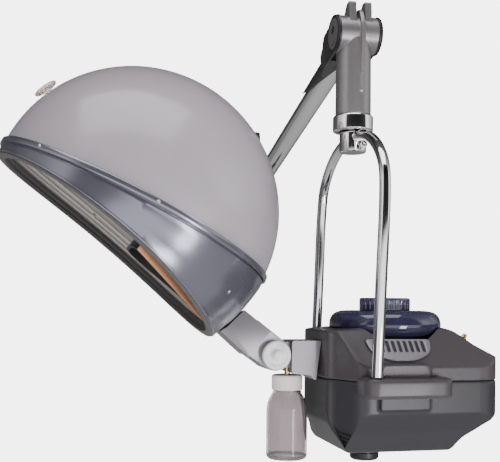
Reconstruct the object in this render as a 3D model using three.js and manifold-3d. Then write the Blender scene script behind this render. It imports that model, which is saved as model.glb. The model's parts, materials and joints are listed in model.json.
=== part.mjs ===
// Salon hair steamer: a tilting hood and its steam generator, hung from a wall-mounted swing arm.
// Millimetres, +Z up. The origin is the centre of the wall plate's back face and +Y points into the wall.
import * as THREE from 'three';
import { mergeVertices } from 'three/addons/utils/BufferGeometryUtils.js';
import Module from 'manifold-3d';

const wasm = await Module();
wasm.setup();

// ---------- driving dimensions ----------
const gap = 0.3; // clearance between pieces that touch
const halfTurn = Math.PI;
const quarterTurn = Math.PI / 2;

const wall = { width: 100, height: 230, thickness: 10, spindleY: -80, pivotY: -130, pivotZ: 51 };
const spindle = { radius: 16, bottom: -110, top: 168 };
const pivot = { rear: 5, rod: 2.5, front: 10, tilt: 8 }; // pin radii
const arm = { reach: 600, rise: 135, tubeRadius: 16.5, tubeWall: 2.5, levelOffset: 11 };
const armLength = Math.hypot(arm.reach, arm.rise);
const armAngle = Math.atan2(arm.rise, arm.reach);

// The head frame has its origin on the head's swivel axis, at the height of the case's seam.
const headY = wall.pivotY - arm.reach;
const barrelZ = 482;
const headZ = wall.pivotZ + arm.rise - barrelZ;

const knuckle = { barrelRadius: 26, left: -26, right: 30, postRadius: 25.2, postBottom: 367, top: 524.5 };
const fork = { plate: 2.7, tubeStart: 62, socketEnd: 205, socketWall: 3.5, cutTurn: -50 };
const pin = { radius: 19, bottom: 315, collarRadius: 28.5, collarBottom: 344.3 };
const bail = { radius: 7.5, halfWidth: 134, crown: 336, lean: -12, bottom: -14 };
const body = { front: -53, rear: 180, noseHalf: 56, half: 105, bottom: -98, noseTop: 65, wall: 3 };
const tank = { x: 50, radius: 79, bottom: 52, top: 92, neckRadius: 30, capRadius: 36, capTop: 110 };
const handle = { left: -30, right: 92, outer: 147, bar: 23, bottom: -19, top: 7 };
const tilt = { x: -118, z: 31, radius: 22, tongue: 20, cheek: 29 };
const bottle = { x: -93.5, radius: 28.5, bottom: -115, neckRadius: 19 };
const bottleCap = { radius: 21.5, top: 2, bottom: -19 };
const spigot = { x: 21, radius: 20.5, bottom: -119 };
const hood = { x: -304, z: 220, radius: 191, wall: 3.5, angle: 40 * halfTurn / 180 };
const rim = { slope: 0.235, top: 2, lipDrop: -46, arch: 18, flange: 8 };
const steam = { z: 30, pipeRadius: 5.5, portRadius: 9, ductUp: -28, ductRadius: 15.5, ductWall: 2.5 };
const panel = { switchY: -33, inletY: -4, timerY: 22, z: -26 };

// ---------- materials ----------
function look(color, roughness, metalness) {
  return new THREE.MeshStandardMaterial({ color, roughness, metalness });
}
const chrome = look(0xd8d8dc, 0.08, 1);
const castGrey = look(0x8c8489, 0.4, 0.6);
const castBlack = look(0x1c1b1e, 0.35, 0.4);
const steel = look(0xa9a9ad, 0.35, 1);
const blackPlastic = look(0x18181a, 0.5, 0);
const caseUpper = look(0x5c575c, 0.42, 0.2);
const caseLower = look(0x4a4a50, 0.5, 0.1);
const satinSilver = look(0xa5a1a9, 0.4, 0.6);
const trimSilver = look(0x8e8e9c, 0.35, 0.5);
const domeGrey = look(0xb4adb3, 0.25, 0);
const linerGrey = look(0xc9c2bd, 0.5, 0);
const white = look(0xf1eff0, 0.35, 0);
const cream = look(0xd8ccc0, 0.45, 0);
const clear = look(0xd9d2d2, 0.1, 0);
const tankBlue = look(0x35355f, 0.15, 0);
const copper = look(0xc8814f, 0.3, 1);
const brass = look(0xc8aa5a, 0.3, 1);
const rubber = look(0x222224, 0.8, 0);
const aluminium = look(0xb9babd, 0.35, 1);

// ---------- solid helpers ----------
function solidOf(geometry) {
  const bare = geometry.clone();
  bare.deleteAttribute('normal');
  bare.deleteAttribute('uv');
  const welded = mergeVertices(bare, 1e-4);
  const vertProperties = new Float32Array(welded.attributes.position.array);
  const triVerts = new Uint32Array(welded.index.array);
  const mesh = new wasm.Mesh({ numProp: 3, vertProperties, triVerts });
  mesh.merge();
  return new wasm.Manifold(mesh);
}

function geometryOf(solid) {
  const mesh = solid.getMesh();
  const geometry = new THREE.BufferGeometry();
  geometry.setAttribute('position', new THREE.BufferAttribute(new Float32Array(mesh.vertProperties), 3));
  geometry.setIndex(new THREE.BufferAttribute(new Uint32Array(mesh.triVerts), 1));
  geometry.computeVertexNormals();
  return geometry;
}

function join(...solids) {
  return solids.reduce((whole, piece) => whole.add(piece));
}

function cut(solid, ...tools) {
  return tools.reduce((rest, tool) => rest.subtract(tool), solid);
}

// Box between two opposite corners.
function box(x0, x1, y0, y1, z0, z1) {
  const geometry = new THREE.BoxGeometry(x1 - x0, y1 - y0, z1 - z0);
  return solidOf(geometry.translate((x0 + x1) / 2, (y0 + y1) / 2, (z0 + z1) / 2));
}

// Solid of revolution about +Z from [radius, height] points.
function turned(profile, segments = 24) {
  const points = profile.map(([radius, height]) => new THREE.Vector2(radius, height));
  return solidOf(new THREE.LatheGeometry(points, segments).rotateX(quarterTurn));
}

// Round bar between two points; radiusEnd makes it taper.
function bar(radius, from, to, segments = 24, radiusEnd = radius) {
  const start = new THREE.Vector3(...from);
  const way = new THREE.Vector3(...to).sub(start);
  const geometry = new THREE.CylinderGeometry(radiusEnd, radius, way.length(), segments);
  geometry.translate(0, way.length() / 2, 0);
  const upright = new THREE.Vector3(0, 1, 0);
  geometry.applyQuaternion(new THREE.Quaternion().setFromUnitVectors(upright, way.normalize()));
  return solidOf(geometry.translate(start.x, start.y, start.z));
}

function disc(radius, x, y, z0, z1, segments = 24) {
  return bar(radius, [x, y, z0], [x, y, z1], segments);
}

// Outline with each corner rounded by its own radius: points are [a, b, radius].
function outline(points) {
  const shape = new THREE.Shape();
  const corners = points.map(([a, b]) => new THREE.Vector2(a, b));
  corners.forEach((corner, index) => {
    const before = corners[(index + corners.length - 1) % corners.length];
    const after = corners[(index + 1) % corners.length];
    const radius = points[index][2] ?? 0;
    const inward = before.clone().sub(corner).setLength(radius).add(corner);
    const outward = after.clone().sub(corner).setLength(radius).add(corner);
    if (index === 0) shape.moveTo(inward.x, inward.y);
    else shape.lineTo(inward.x, inward.y);
    if (radius > 0) shape.quadraticCurveTo(corner.x, corner.y, outward.x, outward.y);
  });
  shape.closePath();
  return shape;
}

// Prisms: the outline lies in the named plane and is pushed along the third axis.
function prism(shape, depth, bevel, curveSegments) {
  const options = { depth: depth - 2 * bevel, curveSegments, bevelEnabled: bevel > 0 };
  options.bevelThickness = bevel;
  options.bevelSize = bevel;
  options.bevelOffset = -bevel;
  options.bevelSegments = 2;
  return new THREE.ExtrudeGeometry(shape, options).translate(0, 0, bevel);
}
function prismXY(points, z0, z1, bevel = 0, curveSegments = 5) {
  return solidOf(prism(outline(points), z1 - z0, bevel, curveSegments).translate(0, 0, z0));
}
function prismXZ(points, y0, y1, bevel = 0, curveSegments = 5) {
  const geometry = prism(outline(points), y1 - y0, bevel, curveSegments);
  return solidOf(geometry.rotateX(quarterTurn).translate(0, y1, 0));
}
function prismYZ(points, x0, x1, bevel = 0, curveSegments = 5) {
  const geometry = prism(outline(points), x1 - x0, bevel, curveSegments);
  return solidOf(geometry.rotateX(quarterTurn).rotateZ(quarterTurn).translate(x0, 0, 0));
}

// Round tube swept along a curve through the points.
function sweep(points, radius, steps, sides = 5) {
  const stops = points.map((point) => new THREE.Vector3(...point));
  const path = new THREE.CatmullRomCurve3(stops, false, 'centripetal');
  const section = new THREE.Shape().absarc(0, 0, radius, 0, 2 * halfTurn, false);
  const options = { steps, extrudePath: path, bevelEnabled: false, curveSegments: sides };
  return solidOf(new THREE.ExtrudeGeometry(section, options));
}

function piece(name, material, solid) {
  const mesh = new THREE.Mesh(geometryOf(solid), material);
  mesh.name = name;
  return mesh;
}

// ---------- wall bracket and swivel ----------
function makeWallBracket() {
  const { width, height, thickness, spindleY } = wall;
  const screwX = 36;
  const screwZ = 98;
  const plate = prismXZ([
    [-width / 2, -height / 2, 12], [width / 2, -height / 2, 12],
    [width / 2, height / 2, 12], [-width / 2, height / 2, 12],
  ], -thickness, 0);
  const lug = (z0, z1) => prismXY([
    [-26, 0.5 - thickness, 0], [-23, spindleY - 24, 20], [23, spindleY - 24, 20], [26, 0.5 - thickness, 0],
  ], z0, z1);
  const rib = box(-4, 4, spindleY + 30, 0.5 - thickness, -79.5, 84.5);
  const holes = [-1, 1].flatMap((side) => [-1, 1].map((end) => (
    bar(3.5, [side * screwX, 1, end * screwZ], [side * screwX, -thickness - 1, end * screwZ], 12)
  )));
  const bore = disc(spindle.radius + gap, 0, spindleY, -120, 120);
  const bracket = cut(join(plate, lug(-95, -79), lug(84, 100), rib), bore, ...holes);
  const pieces = [piece('wall_bracket', castBlack, bracket)];
  pieces.push(piece('spindle', castBlack, disc(spindle.radius, 0, spindleY, spindle.bottom, spindle.top)));
  pieces.push(piece('spindle_cap', blackPlastic, turned([
    [0, gap], [spindle.radius - 1, gap], [spindle.radius, 1.5], [spindle.radius - 1, 5], [0, 5.6],
  ], 24).translate(0, spindleY, spindle.top)));
  [-1, 1].forEach((side) => [-1, 1].forEach((end) => {
    const name = `wall_screw_${end > 0 ? 'upper' : 'lower'}_${side > 0 ? 'right' : 'left'}`;
    const at = (y) => [side * screwX, y, end * screwZ];
    const screwHead = bar(6.5, at(-thickness - gap), at(-thickness - 4.5), 16, 5);
    pieces.push(piece(name, steel, join(screwHead, bar(3, at(-gap), at(-thickness - 1), 12))));
  }));
  return pieces;
}

function makeArmBase() {
  const { spindleY, pivotY, pivotZ } = wall;
  const inner = arm.tubeRadius + 1;
  const outer = arm.tubeRadius + 8;
  const sleeve = disc(23, 0, spindleY, -78.5, 83.5);
  const web = box(-outer, outer, spindleY - 28, spindleY - 16, pivotZ - 35, pivotZ + 27);
  const cheekOutline = [
    [spindleY - 26, pivotZ - 35, 0], [spindleY - 26, pivotZ + 27, 0],
    [pivotY - 16, pivotZ + 27, 16], [pivotY - 16, pivotZ - 16, 16],
  ];
  const cheeks = [prismYZ(cheekOutline, -outer, -inner), prismYZ(cheekOutline, inner, outer)];
  const across = (radius, z, half, sides) => bar(radius, [-half, pivotY, z], [half, pivotY, z], sides);
  const bores = [
    disc(spindle.radius + gap, 0, spindleY, -100, 100),
    across(pivot.rear + gap, pivotZ, 40, 16),
    across(pivot.rod + gap, pivotZ + arm.levelOffset, 40, 10),
  ];
  const pivotHeads = [-1, 1].map((side) => (
    bar(9, [side * (outer + gap), pivotY, pivotZ], [side * (outer + 4), pivotY, pivotZ], 16)
  ));
  return [
    piece('swivel_yoke', castBlack, cut(join(sleeve, web, ...cheeks), ...bores)),
    piece('rear_pivot_pin', steel, join(across(pivot.rear, pivotZ, outer + 2, 16), ...pivotHeads)),
    piece('rear_level_pin', steel, across(pivot.rod, pivotZ + arm.levelOffset, outer, 10)),
  ];
}

// ---------- lift arm ----------
// Built along +Y from the front pivot, then tipped down towards the rear pivot.
function makeLiftArm() {
  const { tubeRadius, tubeWall, levelOffset } = arm;
  const boreRadius = tubeRadius - tubeWall;
  const { tubeStart, socketEnd } = fork;
  const tubeEnd = armLength - 22;
  const hubInner = { left: knuckle.left - gap, right: knuckle.right + gap };
  const hubOuter = { left: knuckle.left - fork.plate, right: knuckle.right + fork.plate };
  const lengthwise = (radius, from, to, sides = 24) => bar(radius, [0, from, 0], [0, to, 0], sides);

  const tubeBore = lengthwise(boreRadius, tubeStart - 1, tubeEnd + 1);
  const tube = cut(lengthwise(tubeRadius, tubeStart, tubeEnd), tubeBore);

  const plateOutline = [
    [-26, -26, 26], [-26, 26, 26], [40, 24, 10], [96, 17, 4], [96, -17, 4], [40, -24, 10],
  ];
  const hubs = [
    prismYZ(plateOutline, hubOuter.left, hubInner.left),
    prismYZ(plateOutline, hubInner.right, hubOuter.right),
  ];
  const bridge = box(hubOuter.left, hubOuter.right, 44, 96, -17, 17);
  const taper = prismXY([
    [hubOuter.left, -30], [hubOuter.left, 47], [-tubeRadius - 3, 97], [tubeRadius + 3, 97],
    [hubOuter.right, 47], [hubOuter.right, -30],
  ], -30, 30);
  const socket = lengthwise(tubeRadius + fork.socketWall, tubeStart - 2, socketEnd);
  const slantCut = prismYZ([
    [46, -30], [socketEnd + 4, -30], [socketEnd + 4, 20], [100, -1], [62, -9], [53, -24],
  ], -40, 40).rotate([0, fork.cutTurn, 0]);
  const frontFork = cut(
    join(join(...hubs, bridge).intersect(taper), socket),
    slantCut,
    lengthwise(tubeRadius + gap, tubeStart - gap, socketEnd + 10),
    lengthwise(boreRadius, 30, 70),
    bar(pivot.front + gap, [-60, 0, 0], [60, 0, 0], 24),
  );

  const rearFork = cut(
    join(
      lengthwise(boreRadius - gap, armLength - 100, tubeEnd + 1),
      lengthwise(tubeRadius, tubeEnd + gap, armLength - 13),
      box(0.5 - tubeRadius, tubeRadius - 0.5, armLength - 14, armLength, -7.7, 3),
      bar(6.7, [0.5 - tubeRadius, armLength, 0], [tubeRadius - 0.5, armLength, 0], 20),
      bar(7.7, [0.5 - tubeRadius, armLength, 0], [-5, armLength, 0], 20),
      bar(7.7, [5, armLength, 0], [tubeRadius - 0.5, armLength, 0], 20),
    ),
    bar(pivot.rear + gap, [-40, armLength, 0], [40, armLength, 0], 16),
    box(-5, 5, armLength - 110, armLength - 9, 3, 20),
  );

  const strutZ = -5;
  const gasStrut = join(
    bar(7, [0, 120, strutZ], [0, 360, strutZ], 16),
    bar(3.5, [0, 355, strutZ], [0, 470, strutZ], 12),
    bar(5, [0, 466, strutZ], [0, 478, strutZ], 12),
  );
  const lever = new THREE.Group();
  lever.add(piece('arm_tube', chrome, tube));
  lever.add(piece('front_fork', castBlack, frontFork));
  lever.add(piece('rear_fork', castBlack, rearFork));
  lever.add(piece('gas_strut', blackPlastic, gasStrut));
  lever.position.set(0, headY, headZ + barrelZ);
  lever.rotation.x = -armAngle;

  // The levelling rod runs inside the tube, above and parallel to the tube's axis.
  const levelRod = new THREE.Group();
  levelRod.add(piece('level_rod', steel, join(
    bar(pivot.rod, [0, 56, 0], [0, armLength - 3.2, 0], 12),
    cut(
      bar(4, [-4, armLength, 0], [4, armLength, 0], 16),
      bar(pivot.rod + gap, [-6, armLength, 0], [6, armLength, 0], 12),
    ),
  )));
  levelRod.position.set(0, headY, headZ + barrelZ + levelOffset);
  levelRod.rotation.x = -armAngle;
  return [lever, levelRod];
}

// ---------- knuckle: the casting that stays upright at the arm's end ----------
function makeKnuckle() {
  const { barrelRadius, left, right, postRadius, postBottom, top } = knuckle;
  const acrossBarrel = (radius, x0, x1, sides = 28) => bar(radius, [x0, 0, barrelZ], [x1, 0, barrelZ], sides);
  const barrel = acrossBarrel(barrelRadius, left, right);
  const post = disc(postRadius, 0, 0, postBottom, barrelZ);
  const lug = (x0, x1) => prismYZ([
    [-23, barrelZ, 0], [-20, top, 4], [-6, top, 5], [25, barrelZ, 0],
  ], x0, x1);
  const lugs = [lug(-13.5, -3), lug(9.5, 19.5)];
  const rib = prismYZ([
    [0, 400, 0], [-25.5, 396, 3], [-30.5, 470, 6], [-30, 492, 10], [-18, 515, 10], [0, 515, 0],
  ], 1, 8);
  const bores = [
    acrossBarrel(pivot.front + gap, left - 5, right + 5, 24),
    disc(12 + gap, 0, 0, postBottom - 5, 425, 24),
  ];
  const collarBore = disc(pin.radius + gap, 0, 0, pin.collarBottom - 1, postBottom + 1);
  const collar = disc(pin.collarRadius, 0, 0, pin.collarBottom, postBottom - gap);
  const ringBore = 22;
  const ring = (x0, x1) => cut(
    acrossBarrel(barrelRadius + 0.2, x0, x1),
    acrossBarrel(ringBore, x0 - 1, x1 + 1, 24),
  );
  const capInner = fork.plate + gap;
  const capOuter = fork.plate + 2.7;
  const capFace = cut(
    acrossBarrel(ringBore - gap, left - capOuter, left - capInner, 24),
    bar(7, [left - 12, 0, barrelZ + 5], [left - capInner - 0.9, 0, barrelZ + 5], 6),
  );
  return [
    piece('knuckle_post', castGrey, cut(join(barrel, post, ...lugs, rib), ...bores)),
    piece('knuckle_pin', steel, acrossBarrel(pivot.front, left - fork.plate, right + fork.plate, 24)),
    piece('left_cap_ring', rubber, ring(left - capOuter, left - capInner)),
    piece('left_cap', castGrey, capFace),
    piece('right_cap', rubber, acrossBarrel(barrelRadius, right + capInner, right + capOuter)),
    piece('swivel_collar', chrome, cut(collar, collarBore)),
  ];
}

// ---------- head: swivel pin, bail and steam generator ----------
function makeHanger() {
  const { radius, halfWidth, crown, lean, bottom } = bail;
  const half = [[76, 322], [106, 303], [127, 277], [halfWidth, 240], [halfWidth, 120], [halfWidth, bottom]];
  const leanAt = (z) => lean * (1 - z / crown);
  const nearSide = [...half].reverse().map(([y, z]) => [leanAt(z), -y, z]);
  const farSide = half.map(([y, z]) => [leanAt(z), y, z]);
  const route = [...nearSide, [leanAt(333), -40, 333], [0, 0, crown], [leanAt(333), 40, 333], ...farSide];
  const shank = join(
    disc(pin.radius, 0, 0, pin.bottom, pin.collarBottom - gap),
    disc(pin.radius - 1, 0, 0, pin.bottom + 2, knuckle.postBottom - 0.5),
    disc(12, 0, 0, 360, 424, 24),
  );
  const screwSite = { x: 9, z: 324 };
  const screwBore = bar(3 + gap, [screwSite.x, -24, screwSite.z], [screwSite.x, -9, screwSite.z], 12);
  return [
    piece('swivel_pin', chrome, cut(shank, sweep(route, radius + 0.5, 44, 6), screwBore)),
    piece('bail', chrome, sweep(route, radius, 44, 6)),
    piece('bail_screw', steel, join(
      bar(3, [screwSite.x, -20, screwSite.z], [screwSite.x, -10, screwSite.z], 12),
      bar(5, [screwSite.x, -22.5, screwSite.z], [screwSite.x, -19, screwSite.z], 12),
    )),
  ];
}

// Openings for the switch, the timer's shaft and the mains inlet, through whatever lies behind the panel.
function controlHoles(from, ease) {
  const { switchY, inletY, timerY, z } = panel;
  const end = body.rear + 5;
  return [
    box(from, end, switchY - 10.5 - ease, switchY + 10.5 + ease, z - 7, z + 7),
    bar(4 + gap, [from, timerY, z], [end, timerY, z], 16),
    box(from, end, inletY - 9.5 - ease, inletY + 9.5 + ease, z - 9.5 - ease, z + 5.5 + ease),
  ];
}

// Plan of the case: a narrow nose in front of a wider rear, with rounded rear corners.
function planOutline(inset) {
  const { front, rear, noseHalf, half } = body;
  const side = (sign) => [
    [front + inset, sign * (noseHalf - inset), 4],
    [-44, sign * (noseHalf + 4 - inset), 6],
    [-24, sign * (half - inset), 16],
    [rear - inset, sign * (half - inset), 34],
  ];
  return [...side(-1), ...side(1).reverse()];
}

function caseBlock(inset, sideView, endView, z0, z1) {
  const block = prismXY(planOutline(inset), z0, z1);
  return block.intersect(prismXZ(sideView, -200, 200)).intersect(prismYZ(endView, -200, 300));
}

function mirrored(points) {
  return [...points, ...points.map(([y, z, radius]) => [-y, z, radius]).reverse()];
}

function makeCase() {
  const { front, rear, half, noseHalf, noseTop, bottom, wall: thick } = body;
  const upperSide = (inset) => [
    [front - 5, -1, 0], [front + 1, noseTop - inset, 6], [20, 71 - inset, 4], [102, 73 - inset, 10],
    [127, 65 - inset, 6], [150, 46 - inset, 4], [177, 30 - inset, 4], [rear + 5, -1, 0],
  ];
  const upperEnd = (inset) => mirrored([
    [half + 5, -1, 0], [half + 2, 17 - inset, 7], [74, 54 - inset, 5], [60, 69 - inset, 6],
    [20, 72 - inset, 0],
  ]);
  const noseBlock = (inset) => prismXY([
    [front + inset, inset - noseHalf, 4], [6, inset - noseHalf, 0],
    [6, noseHalf - inset, 0], [front + inset, noseHalf - inset, 4],
  ], 0, noseTop - inset);
  const bossBlock = (z0, z1) => [-1, 1].map((side) => prismXZ([
    [3, z0, 2], [3, z1, 8], [72, z1, 8], [72, z0, 2],
  ], side > 0 ? half - 8 : -half - 6, side > 0 ? half + 6 : 8 - half, 0));
  const skin = join(caseBlock(0, upperSide(0), upperEnd(0), 0, 90), noseBlock(0), ...bossBlock(0, 23));
  const inside = join(
    caseBlock(thick, upperSide(thick), upperEnd(thick), -1, 90),
    noseBlock(thick).translate(0, 0, -0.5),
  );
  const recess = disc(tank.radius + 2, tank.x, 0, tank.bottom - gap, 120, 28);
  const floorPad = disc(tank.radius + 2, tank.x, 0, tank.bottom - gap - thick, tank.bottom - gap, 28);
  const pad = floorPad.intersect(skin);
  const upper = cut(
    join(cut(skin, inside), pad),
    recess,
    disc(11 + gap, tank.x, 0, 30, 60, 20),
    bar(steam.portRadius + gap, [front - 10, 0, steam.z], [front + 10, 0, steam.z], 20),
  );
  const lowerSide = (inset) => [
    [front - 5, 1, 0], [front + 2, -59 + inset, 4], [-30, bottom + inset, 4], [118, bottom + inset, 5],
    [129, -78 + inset, 6], [151, -62 + inset, 6], [rear, -44 + inset, 10], [rear + 5, 1, 0],
  ];
  const lowerEnd = (inset) => mirrored([
    [half + 5, 1, 0], [half + 1, -40 + inset, 6], [97, -66 + inset, 8], [74, bottom + inset, 5],
  ]);
  const lowerSkin = join(
    caseBlock(0, lowerSide(0), lowerEnd(0), bottom - 1, -gap),
    ...bossBlock(-38, -gap),
  );
  const lowerInside = caseBlock(thick, lowerSide(thick), lowerEnd(thick), bottom - 1, 5);
  const lower = cut(lowerSkin, lowerInside, ...controlHoles(rear - 10, 0.5));
  const slopeAngle = Math.atan2(35, 31);
  const slotPitch = 8.3;
  const slotWidth = 4.8;
  const grille = (side) => {
    const fan = outline([
      [-46, 0, 6], [46, 0, 6], [42, -22, 10], [20, -36, 14], [-20, -36, 14], [-42, -22, 10],
    ]);
    const plate = solidOf(prism(fan, 2.2, 0, 4));
    const slotAt = (step) => box(
      step * slotPitch - slotWidth / 2, step * slotPitch + slotWidth / 2, -22, -2.5, -1, 4,
    );
    const slots = [-4, -3, -2, -1, 0, 1, 2, 3, 4].map(slotAt);
    const vent = geometryOf(cut(plate, ...slots));
    vent.rotateX(slopeAngle);
    vent.translate(38, -76.6, 53.1);
    if (side > 0) vent.rotateZ(halfTurn).translate(2 * 38, 0, 0);
    const mesh = new THREE.Mesh(vent, satinSilver);
    mesh.name = side > 0 ? 'far_vent_grille' : 'near_vent_grille';
    return mesh;
  };
  const foot = turned([
    [0, spigot.bottom], [spigot.radius - 2.5, spigot.bottom], [spigot.radius, spigot.bottom + 2],
    [spigot.radius, bottom - gap], [0, bottom - gap],
  ]).translate(spigot.x, 0, 0);
  return [
    piece('upper_case', caseUpper, upper),
    piece('lower_case', caseLower, lower),
    grille(-1),
    grille(1),
    piece('base_spigot', blackPlastic, foot),
  ];
}

// Grab handle: a loop standing off the case, which also takes the foot of the bail.
function makeHandle(side) {
  const { left, right, outer, bar: width, bottom, top } = handle;
  const inner = body.half + gap;
  const legAt = (z) => [bail.lean * (1 - z / bail.crown), -bail.halfWidth, z];
  const points = [
    [left, -inner, 0], [left + 2, -outer, 14], [right - 2, -outer, 14], [right, -inner, 0],
    [right - 17, -inner, 0], [right - 19, -outer + width, 6],
    [left + 34, -outer + width, 6], [left + 32, -inner, 0],
  ];
  const loop = prismXY(points, bottom, top, 2.5, 4);
  const socket = bar(bail.radius + 0.8, legAt(bail.bottom - 0.5), legAt(20), 16);
  const solid = cut(loop, socket);
  const geometry = geometryOf(side > 0 ? solid.mirror([0, 1, 0]) : solid);
  const mesh = new THREE.Mesh(geometry, caseUpper);
  mesh.name = side > 0 ? 'far_handle' : 'near_handle';
  return mesh;
}

function makeSteamWorks() {
  const boiler = cut(
    turned([[0, -60], [48, -60], [52, -56], [52, 10], [46, 16], [0, 16]]),
    turned([[0, -57], [47, -57], [49, -54], [49, 8], [44, 13], [0, 13]]),
    disc(8 + gap, 0, 0, 5, 20, 16),
    bar(6, [-40, 0, 0], [-70, 0, 0], 16),
  );
  const heater = cut(disc(40, 0, 0, -68, -60.3), disc(30, 0, 0, -70, -60));
  const feedTop = tank.bottom - 2 * gap;
  const feed = cut(
    turned([[0, 5], [8, 5], [8, 46], [10, 46], [10, feedTop], [0, feedTop]], 20),
    disc(4, 0, 0, 0, 60, 12),
  );
  const steamPipe = sweep([
    [tank.x - 53, 0, 0], [tank.x - 70, 0, 2], [-38, 0, steam.z - 2], [body.front - 8, 0, steam.z],
  ], steam.pipeRadius, 14, 10);
  const reliefSeat = [153, -28, 46];
  const relief = turned([[0, 0], [3, 0], [3, 6], [6, 6], [6, 11], [3.5, 12], [3.5, 16], [0, 16]], 16);
  return [
    piece('boiler', aluminium, boiler.translate(tank.x, 0, 0)),
    piece('heater_ring', copper, heater.translate(tank.x, 0, 0)),
    piece('feed_valve', white, feed.translate(tank.x, 0, 0)),
    piece('steam_pipe', aluminium, steamPipe),
    piece('relief_valve', brass, relief.rotate([0, 35, 0]).translate(...reliefSeat)),
  ];
}

function makeControls() {
  const { rear } = body;
  const { switchY, inletY, timerY, z } = panel;
  const plate = cut(
    prismYZ([[-48, -38, 4], [48, -38, 4], [48, -14, 4], [-48, -14, 4]], rear + gap, rear + 2.3),
    ...controlHoles(rear - 5, 0),
  );
  const timer = join(
    bar(13, [rear + 2.6, timerY, z], [rear + 16, timerY, z], 24, 11),
    bar(4, [rear - 14, timerY, z], [rear + 4, timerY, z], 16),
    box(rear + 14, rear + 18, timerY - 1.5, timerY + 1.5, z - 11, z + 11),
  );
  const rocker = prismXZ([
    [rear - 4, z - 6, 1], [rear + 3.4, z - 6, 1], [rear + 5, z + 6, 1], [rear - 4, z + 6, 1],
  ], switchY - 10, switchY + 10);
  const inlet = cut(
    box(rear - 12, rear + 4, inletY - 9, inletY + 9, z - 9, z + 5),
    box(rear - 8, rear + 6, inletY - 6, inletY + 6, z - 6, z + 2),
  );
  return {
    fixed: [piece('control_panel', blackPlastic, plate), piece('mains_inlet', blackPlastic, inlet)],
    timer: piece('timer_knob', blackPlastic, timer),
    rocker: piece('power_switch', rubber, rocker),
  };
}

function makeTank() {
  const { x, radius, bottom, top, neckRadius, capRadius, capTop } = tank;
  const shell = turned([
    [0, bottom], [56, bottom], [70, bottom + 6], [radius - 1, bottom + 15], [radius, bottom + 24],
    [radius - 4, bottom + 34], [radius - 14, top - 2], [radius - 26, top], [neckRadius, top],
    [neckRadius, top + 8], [neckRadius - 3, top + 8], [neckRadius - 3, top - 3], [radius - 27, top - 3],
    [radius - 16, top - 5], [radius - 7, bottom + 32], [radius - 3, bottom + 24], [radius - 4, bottom + 16],
    [68, bottom + 9], [55, bottom + 3], [0, bottom + 3],
  ], 28);
  const cap = cut(
    turned([
      [0, top + gap], [capRadius, top + gap], [capRadius, capTop - 2], [capRadius - 2, capTop], [0, capTop],
    ], 24),
    disc(neckRadius + gap, 0, 0, top, top + 10),
  );
  return [
    piece('water_tank', tankBlue, shell.translate(x, 0, 0)),
    piece('tank_cap', tankBlue, cap.translate(x, 0, 0)),
  ];
}

// ---------- tilt bracket, clamp knob and condensate bottle ----------
function makeTiltBracket() {
  const { x, z, radius, tongue, cheek } = tilt;
  const { front } = body;
  const profile = [
    [front - gap, 50, 2], [front - 7, -5, 3], [-69, 3, 3], [-94.5, 5, 4], [-94.5, 50, 4],
  ];
  const hub = bar(radius, [x, -tongue, z], [x, tongue, z], 24);
  const neck = box(x, -80, -tongue, tongue, z - 18, z + 17);
  const bores = [
    bar(pivot.tilt + gap, [x, -40, z], [x, 40, z], 20),
    bar(steam.portRadius + gap, [-80, 0, steam.z], [front + 5, 0, steam.z], 20),
    disc(4 + gap, bottle.x, 0, -20, 30, 12),
  ];
  const bracket = cut(join(prismXZ(profile, -cheek, cheek), hub, neck), ...bores);
  const nozzle = cut(
    turned([[0, -8], [6.5, -8], [6.5, 1.9], [3.9, 1.9], [3.9, 20], [0, 20]], 16),
    disc(2, 0, 0, -20, 30, 8),
  );
  return [
    piece('tilt_bracket', satinSilver, bracket),
    piece('drain_nozzle', brass, nozzle.translate(bottle.x, 0, 0)),
  ];
}

function makeTiltKnob() {
  const { x, z, cheek } = tilt;
  const across = (radius, y0, y1, sides, end) => bar(radius, [x, y0, z], [x, y1, z], sides, end);
  const knob = join(
    across(19, -cheek - gap, -cheek - 12, 32, 20),
    across(7.9, -cheek - 11, -cheek - 22, 20, 6.5),
    across(pivot.tilt, -cheek - 5, cheek + 1, 20),
  );
  const nut = cut(across(14, cheek + gap, cheek + 9, 6), across(pivot.tilt + gap, cheek - 2, cheek + 2, 20));
  return { knob: piece('tilt_knob', white, knob), nut: piece('tilt_nut', blackPlastic, nut) };
}

function makeBottle() {
  const { x, radius, neckRadius, bottom } = bottle;
  const jar = turned([
    [0, bottom], [radius - 3, bottom], [radius, bottom + 4], [radius, -46],
    [radius - 1.5, -38], [radius - 5, -30], [neckRadius + 1, -23.5], [neckRadius, -21],
    [neckRadius, -6], [neckRadius - 2, -6], [neckRadius - 2, -22], [neckRadius - 0.5, -25.5],
    [radius - 6.8, -31.5], [radius - 3.5, -39], [radius - 2, -46.5], [radius - 2, bottom + 5],
    [radius - 4, bottom + 2.5], [0, bottom + 2.5],
  ], 20);
  const lid = cut(
    turned([
      [0, bottleCap.bottom], [bottleCap.radius, bottleCap.bottom], [bottleCap.radius, bottleCap.top - 1],
      [bottleCap.radius - 1, bottleCap.top], [0, bottleCap.top],
    ], 20),
    disc(neckRadius + gap, 0, 0, -40, -4, 20),
    disc(6.5 + gap, 0, 0, -20, 20, 16),
  );
  return [
    piece('bottle', clear, jar.translate(x, 0, 0)),
    piece('bottle_cap', cream, lid.translate(x, 0, 0)),
  ];
}

// ---------- hood ----------
// Built about the centre of its sphere with +X forward and +Z up, then turned to face away from the post.
const lipHeight = (forward) => rim.lipDrop - rim.arch * (forward / hood.radius) ** 2;

function ball(radius) {
  return solidOf(new THREE.SphereGeometry(radius, 32, 16).rotateX(quarterTurn));
}

function shell(outerRadius, innerRadius) {
  return cut(ball(outerRadius), ball(innerRadius));
}

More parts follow.
